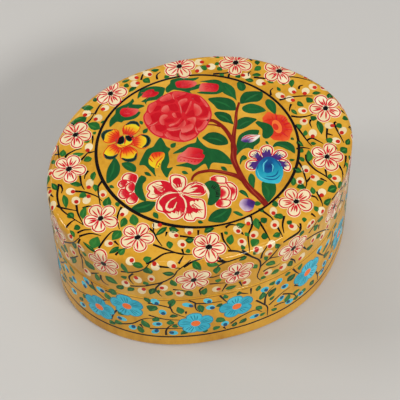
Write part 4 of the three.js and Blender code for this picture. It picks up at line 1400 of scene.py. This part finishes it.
for spot in ((-8.4, -0.3), (-7.2, -1), (-5.8, -1.9), (-4.6, -2.6), (-3.4, -3.2), (-2, -3.5)):
    dab("lid_crimson", spot, (0.6, 0.5), 0, 5, on_top, 0.3)

# %% Yellow bud
YELLOW_BUD = [
    (-20.9, 2.8), (-20.2, 5), (-18.5, 6.9), (-17.1, 7.3), (-14.3, 6.5), (-13.2, 5.2), (-14.4, 3),
    (-15.7, 1.9), (-17.4, 0), (-19.2, -0.3), (-20.5, 1.4)]
YELLOW_BUD_LINES = [
    [(-19.8, 5.4), (-19.2, 3)], [(-18.3, 6.6), (-18, 3.8)], [(-16.6, 7), (-16.8, 4.6)],
    [(-15, 6.4), (-15.8, 4.4)]]
YELLOW_BUD_FOLD = [(-14, 4.2), (-16, 3.1), (-17.4, 2.3), (-18.5, 1), (-19.2, -0.2)]
draw_shape("lid_yellow", 3, YELLOW_BUD, -0.1, (-16, 7.6), 5.6, 0.9)
draw_lines("lid_red_strokes", 0.6, 4, YELLOW_BUD_LINES, tail)
draw_line("lid_red_strokes", YELLOW_BUD_FOLD, 0.5, 4, belly)
for spot in ((-16.9, 1), (-17.8, 0.3)):
    dab("lid_twigs", spot, (0.6, 0.6), 0, 5, on_top, 0.3)

# %% [markdown]
# ## Orange flower, violet buds and the blue iris
# On the right the painter set a scarlet and orange flower behind a green calyx, a violet and white
# bud in its leaf, and an iris with one blue petal below and five white and violet ones above it.

# %% Orange flower
ORANGE_HEART = (33.4, 1.1)
ORANGE_EDGE = [
    (29.8, 6.2), (31.3, 8.2), (33.4, 9.4), (34.6, 8.6), (35.8, 7.1), (38.2, 6), (39.5, 4), (39.2, 1.8),
    (39.9, -0.4), (39.2, -2.9), (37.7, -4.5), (36.2, -6.6), (34.5, -6.9), (32.4, -5.9), (29.6, -3.4)]
ORANGE_FOLDS = [
    [(36.2, 4.8), (37.4, 2.2), (37, -0.8)], [(30.4, 5.6), (32.6, 5.4), (34.8, 4.6)],
    [(31.4, -3), (34.2, -3.2), (36.4, -2)]]
ORANGE_CALYX = [
    (26.6, 6.2), (27.8, 6.7), (29, 5.6), (30.3, 4.7), (31.8, 3), (32.2, 1.1), (31.8, -0.8), (30.5, -2.3),
    (28.1, -3.1), (26.8, -2.4), (26.7, -1), (27.9, 2), (27.1, 4)]
draw_shape("lid_orange", 2, ORANGE_EDGE, -0.2, ORANGE_HEART, 8.6, 0.72, rings=WIDE_FADE_RINGS)
hatch("lid_red_strokes", ORANGE_HEART, -88, 104, 3.8, 5.9, count=10, width=0.7, level=4)
for turn, far in ((-72, 7), (-38, 7.2), (-4, 6.2), (24, 6.4), (62, 7.2)):
    draw_line("lid_crimson", spokes(ORANGE_HEART, (1, 1), (turn, 3.6), (turn + 5, far)), 0.55, 5)
draw_lines("lid_red_strokes", 0.8, 4, ORANGE_FOLDS)
dab("lid_orange", (34, 1.1), (7, 3.8), 85, 5, on_top, 0.85, marks=BROAD_DOT)
dab("lid_orange", ORANGE_HEART, (3.6, 2.3), 85, 6, on_top, 0.15, marks=BROAD_DOT)
draw_shape("lid_dark_leaves", 6, ORANGE_CALYX, 0.4)

# %% Violet buds
VIOLET_BUD = [
    (17.7, -0.2), (18.4, 0.7), (20, 1.5), (22.2, 1.3), (23.9, 0.5), (26, -0.6), (24, -1.9), (22, -2.5),
    (20, -2.3), (18.5, -1.3)]
VIOLET_BUD_LINES = [
    [(18.3, 0.3), (20.4, 1.1), (23.2, 0.7)], [(19.4, -0.2), (22, 0.2), (25, -0.4)],
    [(21, -0.9), (23.4, -1)]]
LOW_VIOLET_BUD = [
    (5.3, -29.6), (5.8, -28.1), (7, -27.1), (8.4, -26.9), (10.1, -27.6), (11.8, -29.8), (10.7, -31.4),
    (9.6, -32.7), (8, -33), (6.2, -32.2)]
LOW_VIOLET_LINES = [[(6.2, -32.4), (8, -33.2), (9.8, -32.6)], [(8, -27), (10, -27.5), (11.6, -29.4)]]
draw_shape("lid_violet", 3, VIOLET_BUD, 0.1, (19, -1.8), 4.6)
draw_lines("lid_crimson", 0.55, 4, VIOLET_BUD_LINES)
draw_shape("lid_violet", 3, LOW_VIOLET_BUD, 0, (10.8, -29.8), 4.6, 0.72)
draw_lines("lid_crimson", 0.4, 4, LOW_VIOLET_LINES)

# %% Iris
IRIS_HEART = (23.4, -14.6)
# Each white petal has its outline and the outline of its violet throat.
IRIS_PETALS = [
    ([(14.5, -13.2), (15.5, -11.2), (16.9, -10.5), (18.6, -10.7), (20.8, -12.2), (19.6, -14), (18.4, -15.2),
      (16.9, -15.6), (15.4, -14.9)], [(16, -13.2), (17, -12.6), (17.9, -11.6), (19, -12), (20.8, -12),
      (21, -14), (19, -15.4), (17, -15.2), (17, -14)]),
    ([(17.9, -8.6), (18.5, -7.2), (19.8, -6.5), (21.4, -6.8), (22.6, -7.8), (22.8, -9.4), (21.8, -11.8),
      (20.6, -11.6), (18.7, -10.2)], [(20, -8.2), (20.8, -8.8), (21.4, -8), (21.8, -9.2), (22.5, -10.6),
      (22.6, -12.4), (20.9, -12.4), (20, -11), (20.4, -9.8)]),
    ([(28.2, -14.6), (29.6, -14.6), (30.9, -15.5), (31.7, -17.4), (31.5, -19.6), (30, -21.1), (28.4, -19.9),
      (27.8, -17)], [(27, -14.9), (29, -15.4), (30.4, -17), (29.4, -17.2), (30.2, -18.8), (29, -18.4),
      (28.6, -19.8), (27.6, -18.4)]),
    ([(26.6, -11.8), (27.9, -10.7), (29.3, -10), (31.2, -10.5), (32.4, -12.2), (32, -14), (30.4, -14.5),
      (28.2, -14.2), (26.9, -13.2)], [(25.8, -12.4), (27.2, -11.6), (28.6, -11.4), (28.4, -12.2),
      (30.2, -12.6), (29, -13.2), (29.8, -14.2), (27.4, -14.6)]),
    ([(22.8, -10), (23, -7.9), (23.8, -6.5), (25.4, -6), (27, -6.3), (28.1, -7.6), (28, -9.4),
      (26.4, -11.6), (24, -11.8)], [(23, -12.6), (22.9, -10), (23.6, -8.6), (24.2, -9.4), (25, -7.9),
      (25.4, -9.2), (26.8, -8.4), (26.6, -10.4), (26, -12.6)])]
for number, (outline, throat) in enumerate(IRIS_PETALS):
    edged_petal(outline, 1 + OVERLAP * number, 0.95)
    draw_shape("lid_violet", 5, throat, vary(0.2, 0.1), step=0.6)
    heart = np.mean(throat, axis=0) + 0.35 * (np.array(IRIS_HEART) - np.mean(throat, axis=0))
    toward = direction(heart, np.mean(outline, axis=0))
    hatch("lid_violet_strokes", heart, toward - 22, toward + 22, 1.4, 4.4, count=5, width=0.5, level=6)
BLUE_PETAL = [
    (20.3, -13), (22.2, -11.9), (24, -11.4), (25.9, -12.1), (27.9, -15.1), (28.4, -17.8), (27.7, -20.6),
    (26.4, -22.8), (24, -24.9), (21.4, -24.2), (18.7, -22.5), (17.3, -20.6), (16.9, -18), (17.8, -15.6)]
BLUE_CURL = [(24.6, -13.2), (22.4, -14.6), (20.6, -18.2), (22.6, -19.2), (24.6, -18.4), (25, -15.8)]
draw_shape("lid_blue", 6, BLUE_PETAL, 0.15, (24.6, -12.2), 13, 0.95, rings=WIDE_FADE_RINGS)
draw_shape("lid_blue", 7, BLUE_CURL, 0, (23.4, -16), 5, 0.4)
# The lines on the blue petal have their coat, their width and their points.
BLUE_PETAL_LINES = [
    ("lid_turquoise_lines", 0.5, [(24.4, -12.9), (22, -14.1), (21.1, -15.8), (20.4, -18)]),
    ("lid_turquoise_lines", 0.45, [(24.7, -13.8), (24.9, -16.7), (23.4, -19.2)]),
    ("lid_turquoise_lines", 0.5, [(18.2, -16.4), (18, -19.6), (20, -22.2)]),
    ("lid_blue_strokes", 0.6, [(20.3, -20.2), (22.6, -21.2), (24.6, -20.9), (26.2, -19.2)]),
    ("lid_blue_strokes", 0.55, [(19, -20.4), (21, -22), (23.6, -22.8), (26, -21.6)]),
    ("lid_blue_strokes", 1.1, [(24, -11.6), (24.6, -13.4), (25.2, -16.4)]),
    ("lid_blue_strokes", 0.5, [(26.8, -13.8), (27.6, -16), (27.6, -18.4)]),
    ("lid_blue_strokes", 0.5, [(19.6, -13.9), (18.4, -15.8)])]
for name, width, points in BLUE_PETAL_LINES:
    draw_line(name, points, width, 8, belly)
print("iris petals", len(IRIS_PETALS) + 1)

# %% [markdown]
# ## The lid's wall
# The meadow runs on down the lid's wall. Only the front half shows at once, so its run is drawn
# once and repeated round the back, where the painter would have gone on in the same way.

# %% Motifs of the lid's wall
WALL_BLOSSOMS = [
    (-84, 53.5, 95), (-57.3, 56, 100), (-21.2, 51.8, 100), (-3.9, 50.8, 97), (21, 52, 87), (46.8, 53, 60)]
WALL_BERRIES = [
    (-73.5, 60.5, -73.2, 61.2), (-68, 59, -68.4, 59.3), (-73, 51, -72.5, 50.6), (-66, 42.5, -66.6, 42.9),
    (-48.5, 46, -48.2, 47), (-43.3, 51, -43.9, 52.3), (-42, 43, -41.2, 44.4), (-37.8, 53.3, -37.8, 52.8),
    (-33.2, 46.8, -33.9, 46.6), (-27, 42.3, -27.4, 42.7), (-29.5, 62.5, -28.8, 62),
    (-36, 61.5, -36.4, 62.8), (-12.3, 42.2, -11.4, 42), (0.2, 42, -0.7, 42), (5.5, 62, 4.7, 62.6),
    (9.5, 58, 10, 56.9), (9.5, 43.3, 8.7, 43.5), (16.5, 42, 15.5, 42.4), (26, 41, 25, 40.5),
    (32.2, 47, 31.8, 46.6), (30.6, 60, 30.9, 60.6), (37, 61.5, 37.3, 61), (38.5, 42.3, 38, 42),
    (42.5, 45, 42, 44.5), (54, 42, 53.5, 41.2), (-46, 62.5, -45.5, 63), (56, 58, 56.4, 58.8),
    (61, 45, 60.4, 44.6), (-77.6, 41.9, -77.4, 42.7)]
WALL_LEAVES = [
    (-78, 48, -70, 5, 2), (-73, 44, 70, 6, 2), (-71, 57, 75, 4, 1.8), (-64.3, 49.5, -40, 5, 3.2),
    (-66.3, 56, 0, 2, 1.8), (-48, 57.5, -70, 6, 1.5), (-43, 61.5, -10, 4, 2), (-40, 49.5, -50, 2.3, 1.7),
    (-49, 51, 30, 2.5, 1.5), (-61.5, 43, 95, 4.5, 1.8), (-54.5, 45.5, -30, 5, 3), (-51, 42.3, 50, 4, 2),
    (-46.5, 42.5, 50, 3.5, 1.8), (-38.5, 59, -70, 4, 2.5), (-31, 57.5, -10, 4, 2.2),
    (-29, 50.5, -70, 4.5, 1.8), (-19.7, 61, -60, 5, 2), (-13.5, 61, -25, 4.5, 2), (-11.8, 56.3, 80, 4.3, 2),
    (-11.3, 48.3, 70, 2.3, 1.8), (-1.5, 60.3, 20, 3, 1.5), (3.5, 51.5, -60, 3.5, 1.7),
    (-37.8, 43.5, 70, 4.5, 2), (-35.2, 43.5, 90, 2.5, 1), (-31.2, 42.7, 70, 3.5, 2.2),
    (-22.8, 41.8, -70, 4, 2.3), (-16.8, 42, 80, 4.4, 2), (-6.3, 41.2, 5, 4, 2), (7, 41, 60, 2, 1.8),
    (4, 61.5, 40, 2.4, 1.4), (8, 54.7, -75, 3, 1.3), (10.5, 49, -35, 4.5, 2.2), (13, 60, -75, 3, 1.5),
    (25.3, 59.3, -40, 2.5, 2), (32.8, 54.5, -75, 4, 2), (36, 57, -30, 3.5, 2), (30.3, 43.5, -30, 3.5, 2),
    (35.8, 45.5, -60, 3.5, 1.8), (12.8, 41, 10, 3.3, 2.2), (20.3, 41.4, -75, 4, 2), (49, 42.5, -60, 5, 2),
    (55, 49, 60, 4, 2), (60, 51, -60, 4, 2), (60.5, 60, 20, 3.4, 1.8), (52, 61, -20, 3.4, 1.8),
    (-80.7, 43, 30, 4, 2)]
WALL_TWIGS = [
    [(-40, 47.5), (-33.5, 51), (-29, 55.5), (-27, 60), (-22, 64)],
    [(-33.5, 51), (-36.3, 46), (-35.5, 42.5), (-34, 40)], [(-36, 62), (-31, 61.5), (-26, 61)],
    [(-11.5, 64), (-8.5, 61), (-5, 61), (-0.5, 61.5)], [(-8, 61), (-11, 59.5), (-13.5, 56)],
    [(-15.5, 52.5), (-13.5, 51.7), (-10, 52.7)], [(-29.5, 45.5), (-26, 44.5), (-24, 43.5)],
    [(-17.5, 45.3), (-19, 43.5), (-18.5, 39.5)], [(-15, 47), (-11, 46.3), (-8.5, 45.5)],
    [(-8, 44.5), (-9.5, 41), (-10, 39.5)], [(-2.8, 44), (-1.7, 39.8)],
    [(-1, 64), (2, 60), (5.5, 55), (6, 50), (4.8, 43.5), (6.3, 39.5)],
    [(6, 50), (8, 52), (10.5, 53.3), (14.5, 51.5)], [(10, 53.5), (13, 57), (15, 60)],
    [(6.2, 56), (7, 60), (10, 63)], [(16, 60.5), (19, 61), (24, 61.5), (24.5, 64)],
    [(7.3, 45.5), (10, 46.5), (12.5, 45.3), (15, 46)], [(20, 45), (22, 42), (22.5, 39.5)],
    [(26.5, 47.5), (28.5, 43.5)], [(28, 51.5), (32, 50.3), (36, 48), (41, 43.5), (44, 39.5)],
    [(29, 55), (32, 57), (34, 58.5), (37, 57.5)], [(35.3, 54), (35.2, 51)],
    [(-81, 48), (-78, 52), (-74, 56), (-71, 60), (-69.5, 63.5)], [(-75.5, 43), (-72.5, 47), (-70, 50.8)],
    [(-69, 63), (-69, 55), (-68, 50), (-68.2, 43)], [(-68.5, 54), (-66, 51)], [(-64, 43.5), (-60, 47)],
    [(-59.3, 46), (-59.3, 43), (-58, 41), (-56, 40.5)], [(-50, 54.5), (-45, 56), (-41, 59), (-38, 63.5)],
    [(-45, 55), (-46.7, 52), (-46.3, 49), (-45, 47)], [(-46.5, 45.2), (-42, 46.5), (-38.5, 48), (-35, 50)],
    [(44, 61), (49, 60), (53, 57), (57, 54), (62, 53)], [(53, 57), (55, 61), (58, 63.5)],
    [(50, 47), (55, 45.6), (58, 42), (59, 39.5)]]


RUN = 150.2
RUN_END_BLOSSOM = 4
RUN_END_LEAF = 2


def paint_run(first, blossoms, dots, leaves, twigs, blossom, dot, leaf_coat, twig_coat):
    """Paints the front's run of motifs, and repeats it until it meets its own start."""
    shift = 0
    while shift < ROUND_LENGTH:
        last = min(first + RUN, first + ROUND_LENGTH - shift)
        for s, climb, turn in blossoms:
            if s < last - RUN_END_BLOSSOM:
                blossom((s + shift, climb), turn, on_wall)
        for s, climb, dot_s, dot_climb in dots:
            if s < last - RUN_END_LEAF:
                dot(s + shift, climb, dot_s + shift, dot_climb, on_wall)
        for s, climb, turn, length, width in leaves:
            if s < last - RUN_END_LEAF:
                leaf(leaf_coat, s + shift, climb, turn, length, width, on_wall)
        for points in twigs:
            if points[-1][0] < last:
                twig(twig_coat, [(s + shift, climb) for s, climb in points], on_wall)
        shift += RUN


def wall_blossom(about, turn, onto):
    """A cream blossom, drawn a little larger than on the top."""
    cream_blossom(about, turn, onto, 1.03, 1.08)


paint_run(-84.5, WALL_BLOSSOMS, WALL_BERRIES, WALL_LEAVES, WALL_TWIGS, wall_blossom, berry,
          "lid_leaves", "lid_twigs")

# %% [markdown]
# ## The turquoise band on the base
# The base repeats the scheme in cool colours, and stands on a thin black line above a plain
# ochre foot.

# %% Motifs of the base
BASE_BLOSSOMS = [
    (-94, 20, 90), (-62, 19, 90), (-48.9, 28.4, 105), (-21, 17.7, 95), (-3.8, 25.1, 97), (30, 24.5, 98)]
BASE_BUDS = [
    (-80, 29.5, -79.4, 28.6), (-75, 27, -75, 28), (-76.5, 16, -76, 16.8), (-71.5, 11.2, -71, 11.8),
    (-67.2, 35, -66.8, 33.8), (-68.7, 30.5, -68.5, 29.2), (-60.3, 34, -59.5, 33.8),
    (-51.7, 16.8, -52.6, 16.8), (-47.3, 12, -46.9, 12.8), (-37, 35.6, -36.4, 34.3),
    (-34.2, 27.5, -34, 26.7), (-36.7, 17.8, -36.2, 18), (-37.7, 11.6, -37.2, 12.3), (-30.3, 11, -31, 11.3),
    (-24.1, 33, -22.6, 32), (-15.8, 34.3, -15.3, 33.6), (-14.8, 28.8, -14, 28.3), (-8.8, 13.5, -8.7, 12.6),
    (4, 12.5, 4.8, 12.5), (8.3, 31, 8.9, 30.2), (14.7, 32.5, 14.5, 31.6), (17.8, 25.8, 17.4, 26.2),
    (16, 17.5, 16.5, 18.4), (20.6, 11.2, 20, 11.6), (26.8, 11.2, 26.4, 11.8), (43.5, 30, 43, 29.2),
    (42.3, 16, 42, 16.6), (40.5, 11.8, 41.2, 12.2), (51, 28, 50.6, 27.2), (48, 14, 47.4, 14.4),
    (37, 33.5, 36.6, 32.8), (-87, 12.4, -86.5, 13.2), (-84.8, 34.4, -84.2, 33.7)]
BASE_LEAVES = [
    (-54.5, 36.4, 80, 4, 2.6), (-57.5, 31, -75, 4, 2.2), (-64.5, 32, 10, 3, 2), (-40.2, 36, -60, 3.5, 1.8),
    (-52, 21.3, 60, 3, 2.3), (-53.3, 13, -50, 3, 2.6), (-57, 10.6, 70, 3, 2), (-41.5, 17, -65, 5.5, 2.3),
    (-44, 11.6, -75, 5, 2), (-77.5, 24, 60, 4, 1.8), (-75.5, 34, -60, 4, 2), (-70, 20, 80, 3, 1.5),
    (-72, 15.5, 60, 3.5, 1.5), (-30, 35, 80, 5, 2.2), (-38, 30, 60, 4.5, 3.2), (-27.3, 29, -75, 5, 2.2),
    (-18.8, 29, -80, 5.5, 2), (-11.3, 29.5, 30, 2.5, 2), (-8.3, 35, -70, 3, 1.5), (-3.2, 35, 80, 2.5, 1.5),
    (5.3, 34, 80, 3.5, 1.6), (7, 26.8, 80, 4.7, 2.2), (-29.7, 24.3, 10, 3, 1.8), (-37.4, 21.8, 60, 3.5, 2),
    (-31.5, 19.5, 80, 3.3, 2.2), (-29.5, 16, 0, 2.3, 1.8), (-26.3, 11.2, 60, 3.5, 2),
    (-17, 10.4, 80, 2.3, 1.7), (-12.3, 11, 40, 3, 2), (-10.3, 17.5, -50, 4.5, 2.5), (-4.7, 11, 70, 3, 1.7),
    (-1.3, 12, 40, 3.5, 2), (6, 18, -55, 4, 1.8), (7.8, 11.5, 30, 2.3, 1.5), (11.5, 33.7, 30, 2.5, 2),
    (19, 34.4, -10, 2.5, 1.8), (25.7, 33.5, 80, 3.5, 1.7), (12, 26, 60, 5, 2.3), (21, 29.8, 30, 4, 3.2),
    (12, 21.5, 50, 2.5, 1.5), (24, 15.5, 0, 3.5, 1.6), (19.7, 15, 80, 4.6, 2.2), (28.5, 11.8, -50, 3, 1.8),
    (24.5, 10.6, 80, 2.8, 2), (33.5, 11.8, -60, 4, 2), (41, 29, 60, 3.5, 1.7), (43.5, 22, -30, 5, 2),
    (13, 11.5, -40, 3, 1.5), (49, 22, 60, 4, 2), (50, 34, -30, 3.6, 2), (44.5, 35, 20, 3.4, 1.8),
    (-86, 31, 50, 4, 2), (-84.5, 13.8, 60, 4, 2), (-82.3, 20.3, -40, 3.5, 1.8), (-80.5, 35.3, 20, 3.2, 1.8),
    (-83.2, 24.8, 75, 3.6, 1.9)]
BASE_TWIGS = [
    [(-40, 34), (-35, 33), (-31, 31), (-30, 27.5), (-26, 24), (-24.5, 22.8)],
    [(-31, 31), (-31, 34), (-30, 35.5)], [(-40, 24.5), (-36.5, 23), (-33, 22), (-27, 21.3)],
    [(-33.3, 9), (-33.2, 13), (-31.3, 17), (-27.5, 18.5)], [(-40, 13.5), (-33.5, 14.5), (-25, 14.5)],
    [(-23.5, 36.4), (-21, 34), (-21, 32), (-20.5, 28.5), (-19, 26.5)],
    [(-21, 33.5), (-16, 32.5), (-10, 32)], [(-24.8, 28), (-24.8, 25.8)],
    [(-10.8, 36.6), (-9.5, 33.5), (-7.8, 30)], [(-2, 34.5), (1, 32.5)], [(2.2, 36), (2.2, 31.5)],
    [(4.5, 25), (7.5, 20.5), (9.8, 16), (9.9, 9)],
    [(-6.5, 12.5), (-3, 15.5), (2, 17.5), (5, 17), (7.3, 14)], [(-9.5, 11), (-8.5, 9)],
    [(8.5, 19), (8.7, 24), (10, 28), (12.5, 30.5)], [(10.5, 17), (14, 20), (17, 22), (20.5, 22.8)],
    [(17, 20.5), (20, 18), (23, 14.5), (24.5, 10.5)], [(22.8, 22), (25.7, 18.5)],
    [(13, 14), (16, 14), (19, 12.5)], [(21.5, 36), (23.5, 31.5), (25, 29)],
    [(36, 32.5), (38.5, 28), (41, 24)], [(35.7, 18), (37, 14.5), (37.5, 9)], [(-60, 26), (-58, 27.5)],
    [(-66.8, 33), (-62, 30.5), (-58.5, 28), (-56.5, 28)], [(-64.5, 36.6), (-64, 34.5), (-62.5, 31.5)],
    [(-58, 35.3), (-54, 35.2)], [(-53.7, 22.5), (-55.5, 18), (-56.5, 13)],
    [(-57, 10.5), (-52, 12.5), (-47, 15.5), (-44, 19), (-41, 21.5), (-35, 23)], [(-44, 16), (-42.7, 13)],
    [(-80, 20), (-72, 21.5), (-67, 24)], [(41, 24), (46, 25), (50, 24), (53, 21)],
    [(46, 25), (48, 30), (47, 35)], [(37, 14.5), (43, 13.6), (48, 16.4), (51, 19)],
    [(-86, 26), (-83, 30), (-80, 35)], [(-87.6, 21), (-84.5, 17.5), (-80.5, 16), (-77.8, 16.3)]]
paint_run(-94, BASE_BLOSSOMS, BASE_BUDS, BASE_LEAVES, BASE_TWIGS, turquoise_blossom, bud,
          "base_leaves", "base_twigs")

# %% Foot line and painted seam shade
# The foot line wavers a little. A thin brown line along the mouth of the base is painted
# shade, which darkens the seam just under the lid's edge.
FOOT_LINE_HEIGHT = 7.8
MOUTH_LINE_HEIGHT = 36.9
foot_line = []
for bearing in range(0, 360, 6):
    s = bearing * ROUND_LENGTH / 360
    foot_line.append((s, FOOT_LINE_HEIGHT + 0.12 * math.sin(s / 9) + 0.08 * math.sin(s / 3.7)))
foot_path = smooth_path(foot_line, 1.5)
foot_path = np.vstack([foot_path, [[ROUND_LENGTH - 0.02, foot_path[0][1]]]])
keep_stroke("base_twigs", foot_path, np.full(len(foot_path), 0.52), 1, on_wall)
mouth_path = np.column_stack([foot_path[:, 0], np.full(len(foot_path), MOUTH_LINE_HEIGHT)])
# The brown line just under the seam is painted shade.
keep_stroke("base_worn_edge", mouth_path, np.full(len(mouth_path), 0.2), 0, on_wall)

# %% [markdown]
# ## Gouache colours
# Each coat gets its own paint. The tint that was kept with every mark picks a colour along a
# ramp, and noise breaks it up as brush hairs do. The clear lacquer lies over all of them.

# %% Paints
def gouache(name, *colours, at=None, waver=0.3):
    """A brushed paint under the clear lacquer. The tint of each mark picks its colour.

    The colours follow each other evenly from tint 0 to tint 1, or lie at the tints given by at.
    """
    finish, nodes, links, shader = new_finish(name + "_gouache")
    where = nodes.new("ShaderNodeTexCoord")
    hairs = add_noise(nodes, links, where, scale=650, detail=3, stretch=(1, 0.45, 0.7))
    tint = nodes.new("ShaderNodeAttribute")
    tint.attribute_name = "tint"
    centred = nodes.new("ShaderNodeMath")
    centred.operation = "SUBTRACT"
    centred.inputs[1].default_value = 0.5
    links.new(hairs.outputs["Fac"], centred.inputs[0])
    shade = nodes.new("ShaderNodeMath")
    shade.operation = "MULTIPLY_ADD"
    shade.inputs[1].default_value = waver * 2
    links.new(centred.outputs["Value"], shade.inputs[0])
    links.new(tint.outputs["Fac"], shade.inputs[2])
    ramp = add_ramp(nodes, list(zip(at or np.linspace(0, 1, len(colours)), colours)))
    links.new(shade.outputs["Value"], ramp.inputs["Fac"])
    links.new(ramp.outputs["Color"], shader.inputs["Base Color"])
    add_clear_lacquer(nodes, links, shader, where, roughness=0.5)
    return finish


PAINTS = {
    "lid_cream": gouache("cream", "#dcc596", "#ecdab0", "#f3e6c6", at=(0, 0.6, 1)),
    "lid_crimson": gouache("crimson", "#b00a1c", "#cc1829", "#e25248"),
    "lid_berries": gouache("berry_red", "#a81a14", "#d4301f"),
    "lid_twigs": gouache("black", "#060304", "#1c1415"),
    "lid_leaves": gouache("leaf_green", "#124a20", "#256629", "#428238"),
    "lid_dark_leaves": gouache("dark_green", "#0e3f20", "#19582b", "#297034"),
    "lid_leaf_lights": gouache("lifted_green", "#185a2e", "#276f36"),
    "lid_rose": gouache("rose", "#bc0c1c", "#cf222a", "#d84b46", "#dc685e",
                        at=(0, 0.45, 0.8, 1), waver=0.16),
    "lid_rose_lines": gouache("coral", "#cf4a44", "#e08074"),
    "lid_blush": gouache("crimson_to_cream", "#c4101f", "#cf1f2c", "#dd8c78", "#e7cfa0", "#eddcb0",
                         at=(0, 0.42, 0.62, 0.78, 1), waver=0.16),
    "lid_yellow": gouache("red_to_yellow", "#d41a10", "#e2501a", "#e8a01c", "#e4c820",
                          at=(0, 0.35, 0.6, 1), waver=0.12),
    "lid_red_strokes": gouache("scarlet", "#c41410", "#de3a1c"),
    "lid_teal": gouache("dark_teal", "#03201c", "#1d5a4a"),
    "lid_orange": gouache("scarlet_to_orange", "#c81a1c", "#de4c26", "#f07e38", waver=0.15),
    "lid_violet": gouache("violet_to_white", "#33165a", "#52307c", "#b49ab4", "#e8dccf",
                          at=(0, 0.35, 0.62, 0.85), waver=0.12),
    "lid_violet_strokes": gouache("violet", "#33165a", "#5a3a86"),
    "lid_blue": gouache("deep_to_light_blue", "#162f70", "#12588f", "#1d90a8", "#3fbccb",
                        at=(0, 0.3, 0.6, 1), waver=0.12),
    "lid_turquoise_lines": gouache("pale_turquoise", "#3fb4c2", "#76d4dc"),
    "lid_blue_strokes": gouache("deep_blue", "#14306a", "#176898"),
    "lid_branch": gouache("red_brown", "#5a140f", "#7d1a12", "#9c3220"),
    "lid_bark": gouache("light_bark", "#8a2a1a", "#ac452c"),
    "base_turquoise": gouache("turquoise", "#259cb4", "#3abad2", "#62d2e4"),
    "base_blue": gouache("navy", "#0a3a66", "#17719c"),
    # The brown of the line under the seam is painted shade.
    "base_worn_edge": gouache("seam_shade_brown", "#6a3c12", "#96602a"),
    "base_veins": gouache("teal_blue", "#14788c", "#1f8ea6"),
    "base_orange": gouache("orange", "#ee5416", "#ff8c3c"),
    "base_leaves": gouache("base_green", "#0f4424", "#1f6a34", "#3a823e"),
    "base_twigs": gouache("base_black", "#060304", "#1c1415"),
}
print("paints", len(PAINTS))

# %% [markdown]
# ## Coats become pieces
# Every coat is now turned into one mesh that rides on its half of the box.

# %% Building the coats
for name, coat in coats.items():
    for onto in (on_top, on_wall):
        lines = [stroke for stroke in coat["strokes"] if stroke[3] is onto]
        if lines:
            curves_to_marks(name, onto, lines)
    mesh = bpy.data.meshes.new(name)
    mesh.from_pydata(np.concatenate(coat["points"]) * MM, [], coat["faces"])
    tints = mesh.attributes.new("tint", "FLOAT", "POINT")
    tints.data.foreach_set("value", np.concatenate(coat["tints"]).astype(np.float32))
    mesh.materials.append(PAINTS[name])
    piece = bring_in(name, mesh)
    bpy.ops.object.shade_smooth_by_angle(angle=math.radians(20))
    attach(piece, name.split("_")[0])
    triangles = sum(len(face) - 2 for face in coat["faces"])
    print(name, triangles, "triangles")

# %% [markdown]
# ## Table and light
# The box stands on a plain pale table in soft studio light: an even surround, a bright wide lamp in
# front that glints on the rim and the seam, a soft one overhead, a small one at the left, and a
# wide one behind that leaves a sheen on the lacquer at the back.

# %% Table and lamps
LAMP_AIM = Vector((0, 0, 0.03))
start_clean()
bpy.ops.mesh.primitive_plane_add(size=4, location=(0, 0, 0))
table = bpy.context.object
table.name = "table"
table_finish, _, _, table_shader = new_finish("pale_table")
table_shader.inputs["Base Color"].default_value = colour("#c2bfba")
table_shader.inputs["Roughness"].default_value = 0.8
table.data.materials.append(table_finish)


def soft_lamp(name, place, power, wide, tall):
    """A soft rectangular lamp aimed at the box."""
    bpy.ops.object.light_add(type="AREA", location=place)
    lamp = bpy.context.object
    lamp.name = name
    lamp.data.shape = "RECTANGLE"
    lamp.data.size = wide
    lamp.data.size_y = tall
    lamp.data.energy = power
    away = LAMP_AIM - Vector(place)
    lamp.rotation_mode = "QUATERNION"
    lamp.rotation_quaternion = away.to_track_quat("-Z", "Y")


soft_lamp("front_lamp", (0.27, -0.88, 0.78), power=8.6, wide=0.5, tall=0.17)
soft_lamp("top_lamp", (0.1, -0.1, 1.1), power=2.2, wide=0.5, tall=0.5)
soft_lamp("left_lamp", (-0.9, 0.36, 0.6), power=3.6, wide=0.3, tall=0.14)
soft_lamp("back_lamp", (-0.1, 0.95, 0.75), power=3, wide=0.9, tall=0.35)
world = bpy.data.worlds.new("studio")
bpy.context.scene.world = world
world.use_nodes = True
world.node_tree.nodes["Background"].inputs["Color"].default_value = (1, 1, 1, 1)
world.node_tree.nodes["Background"].inputs["Strength"].default_value = 0.28
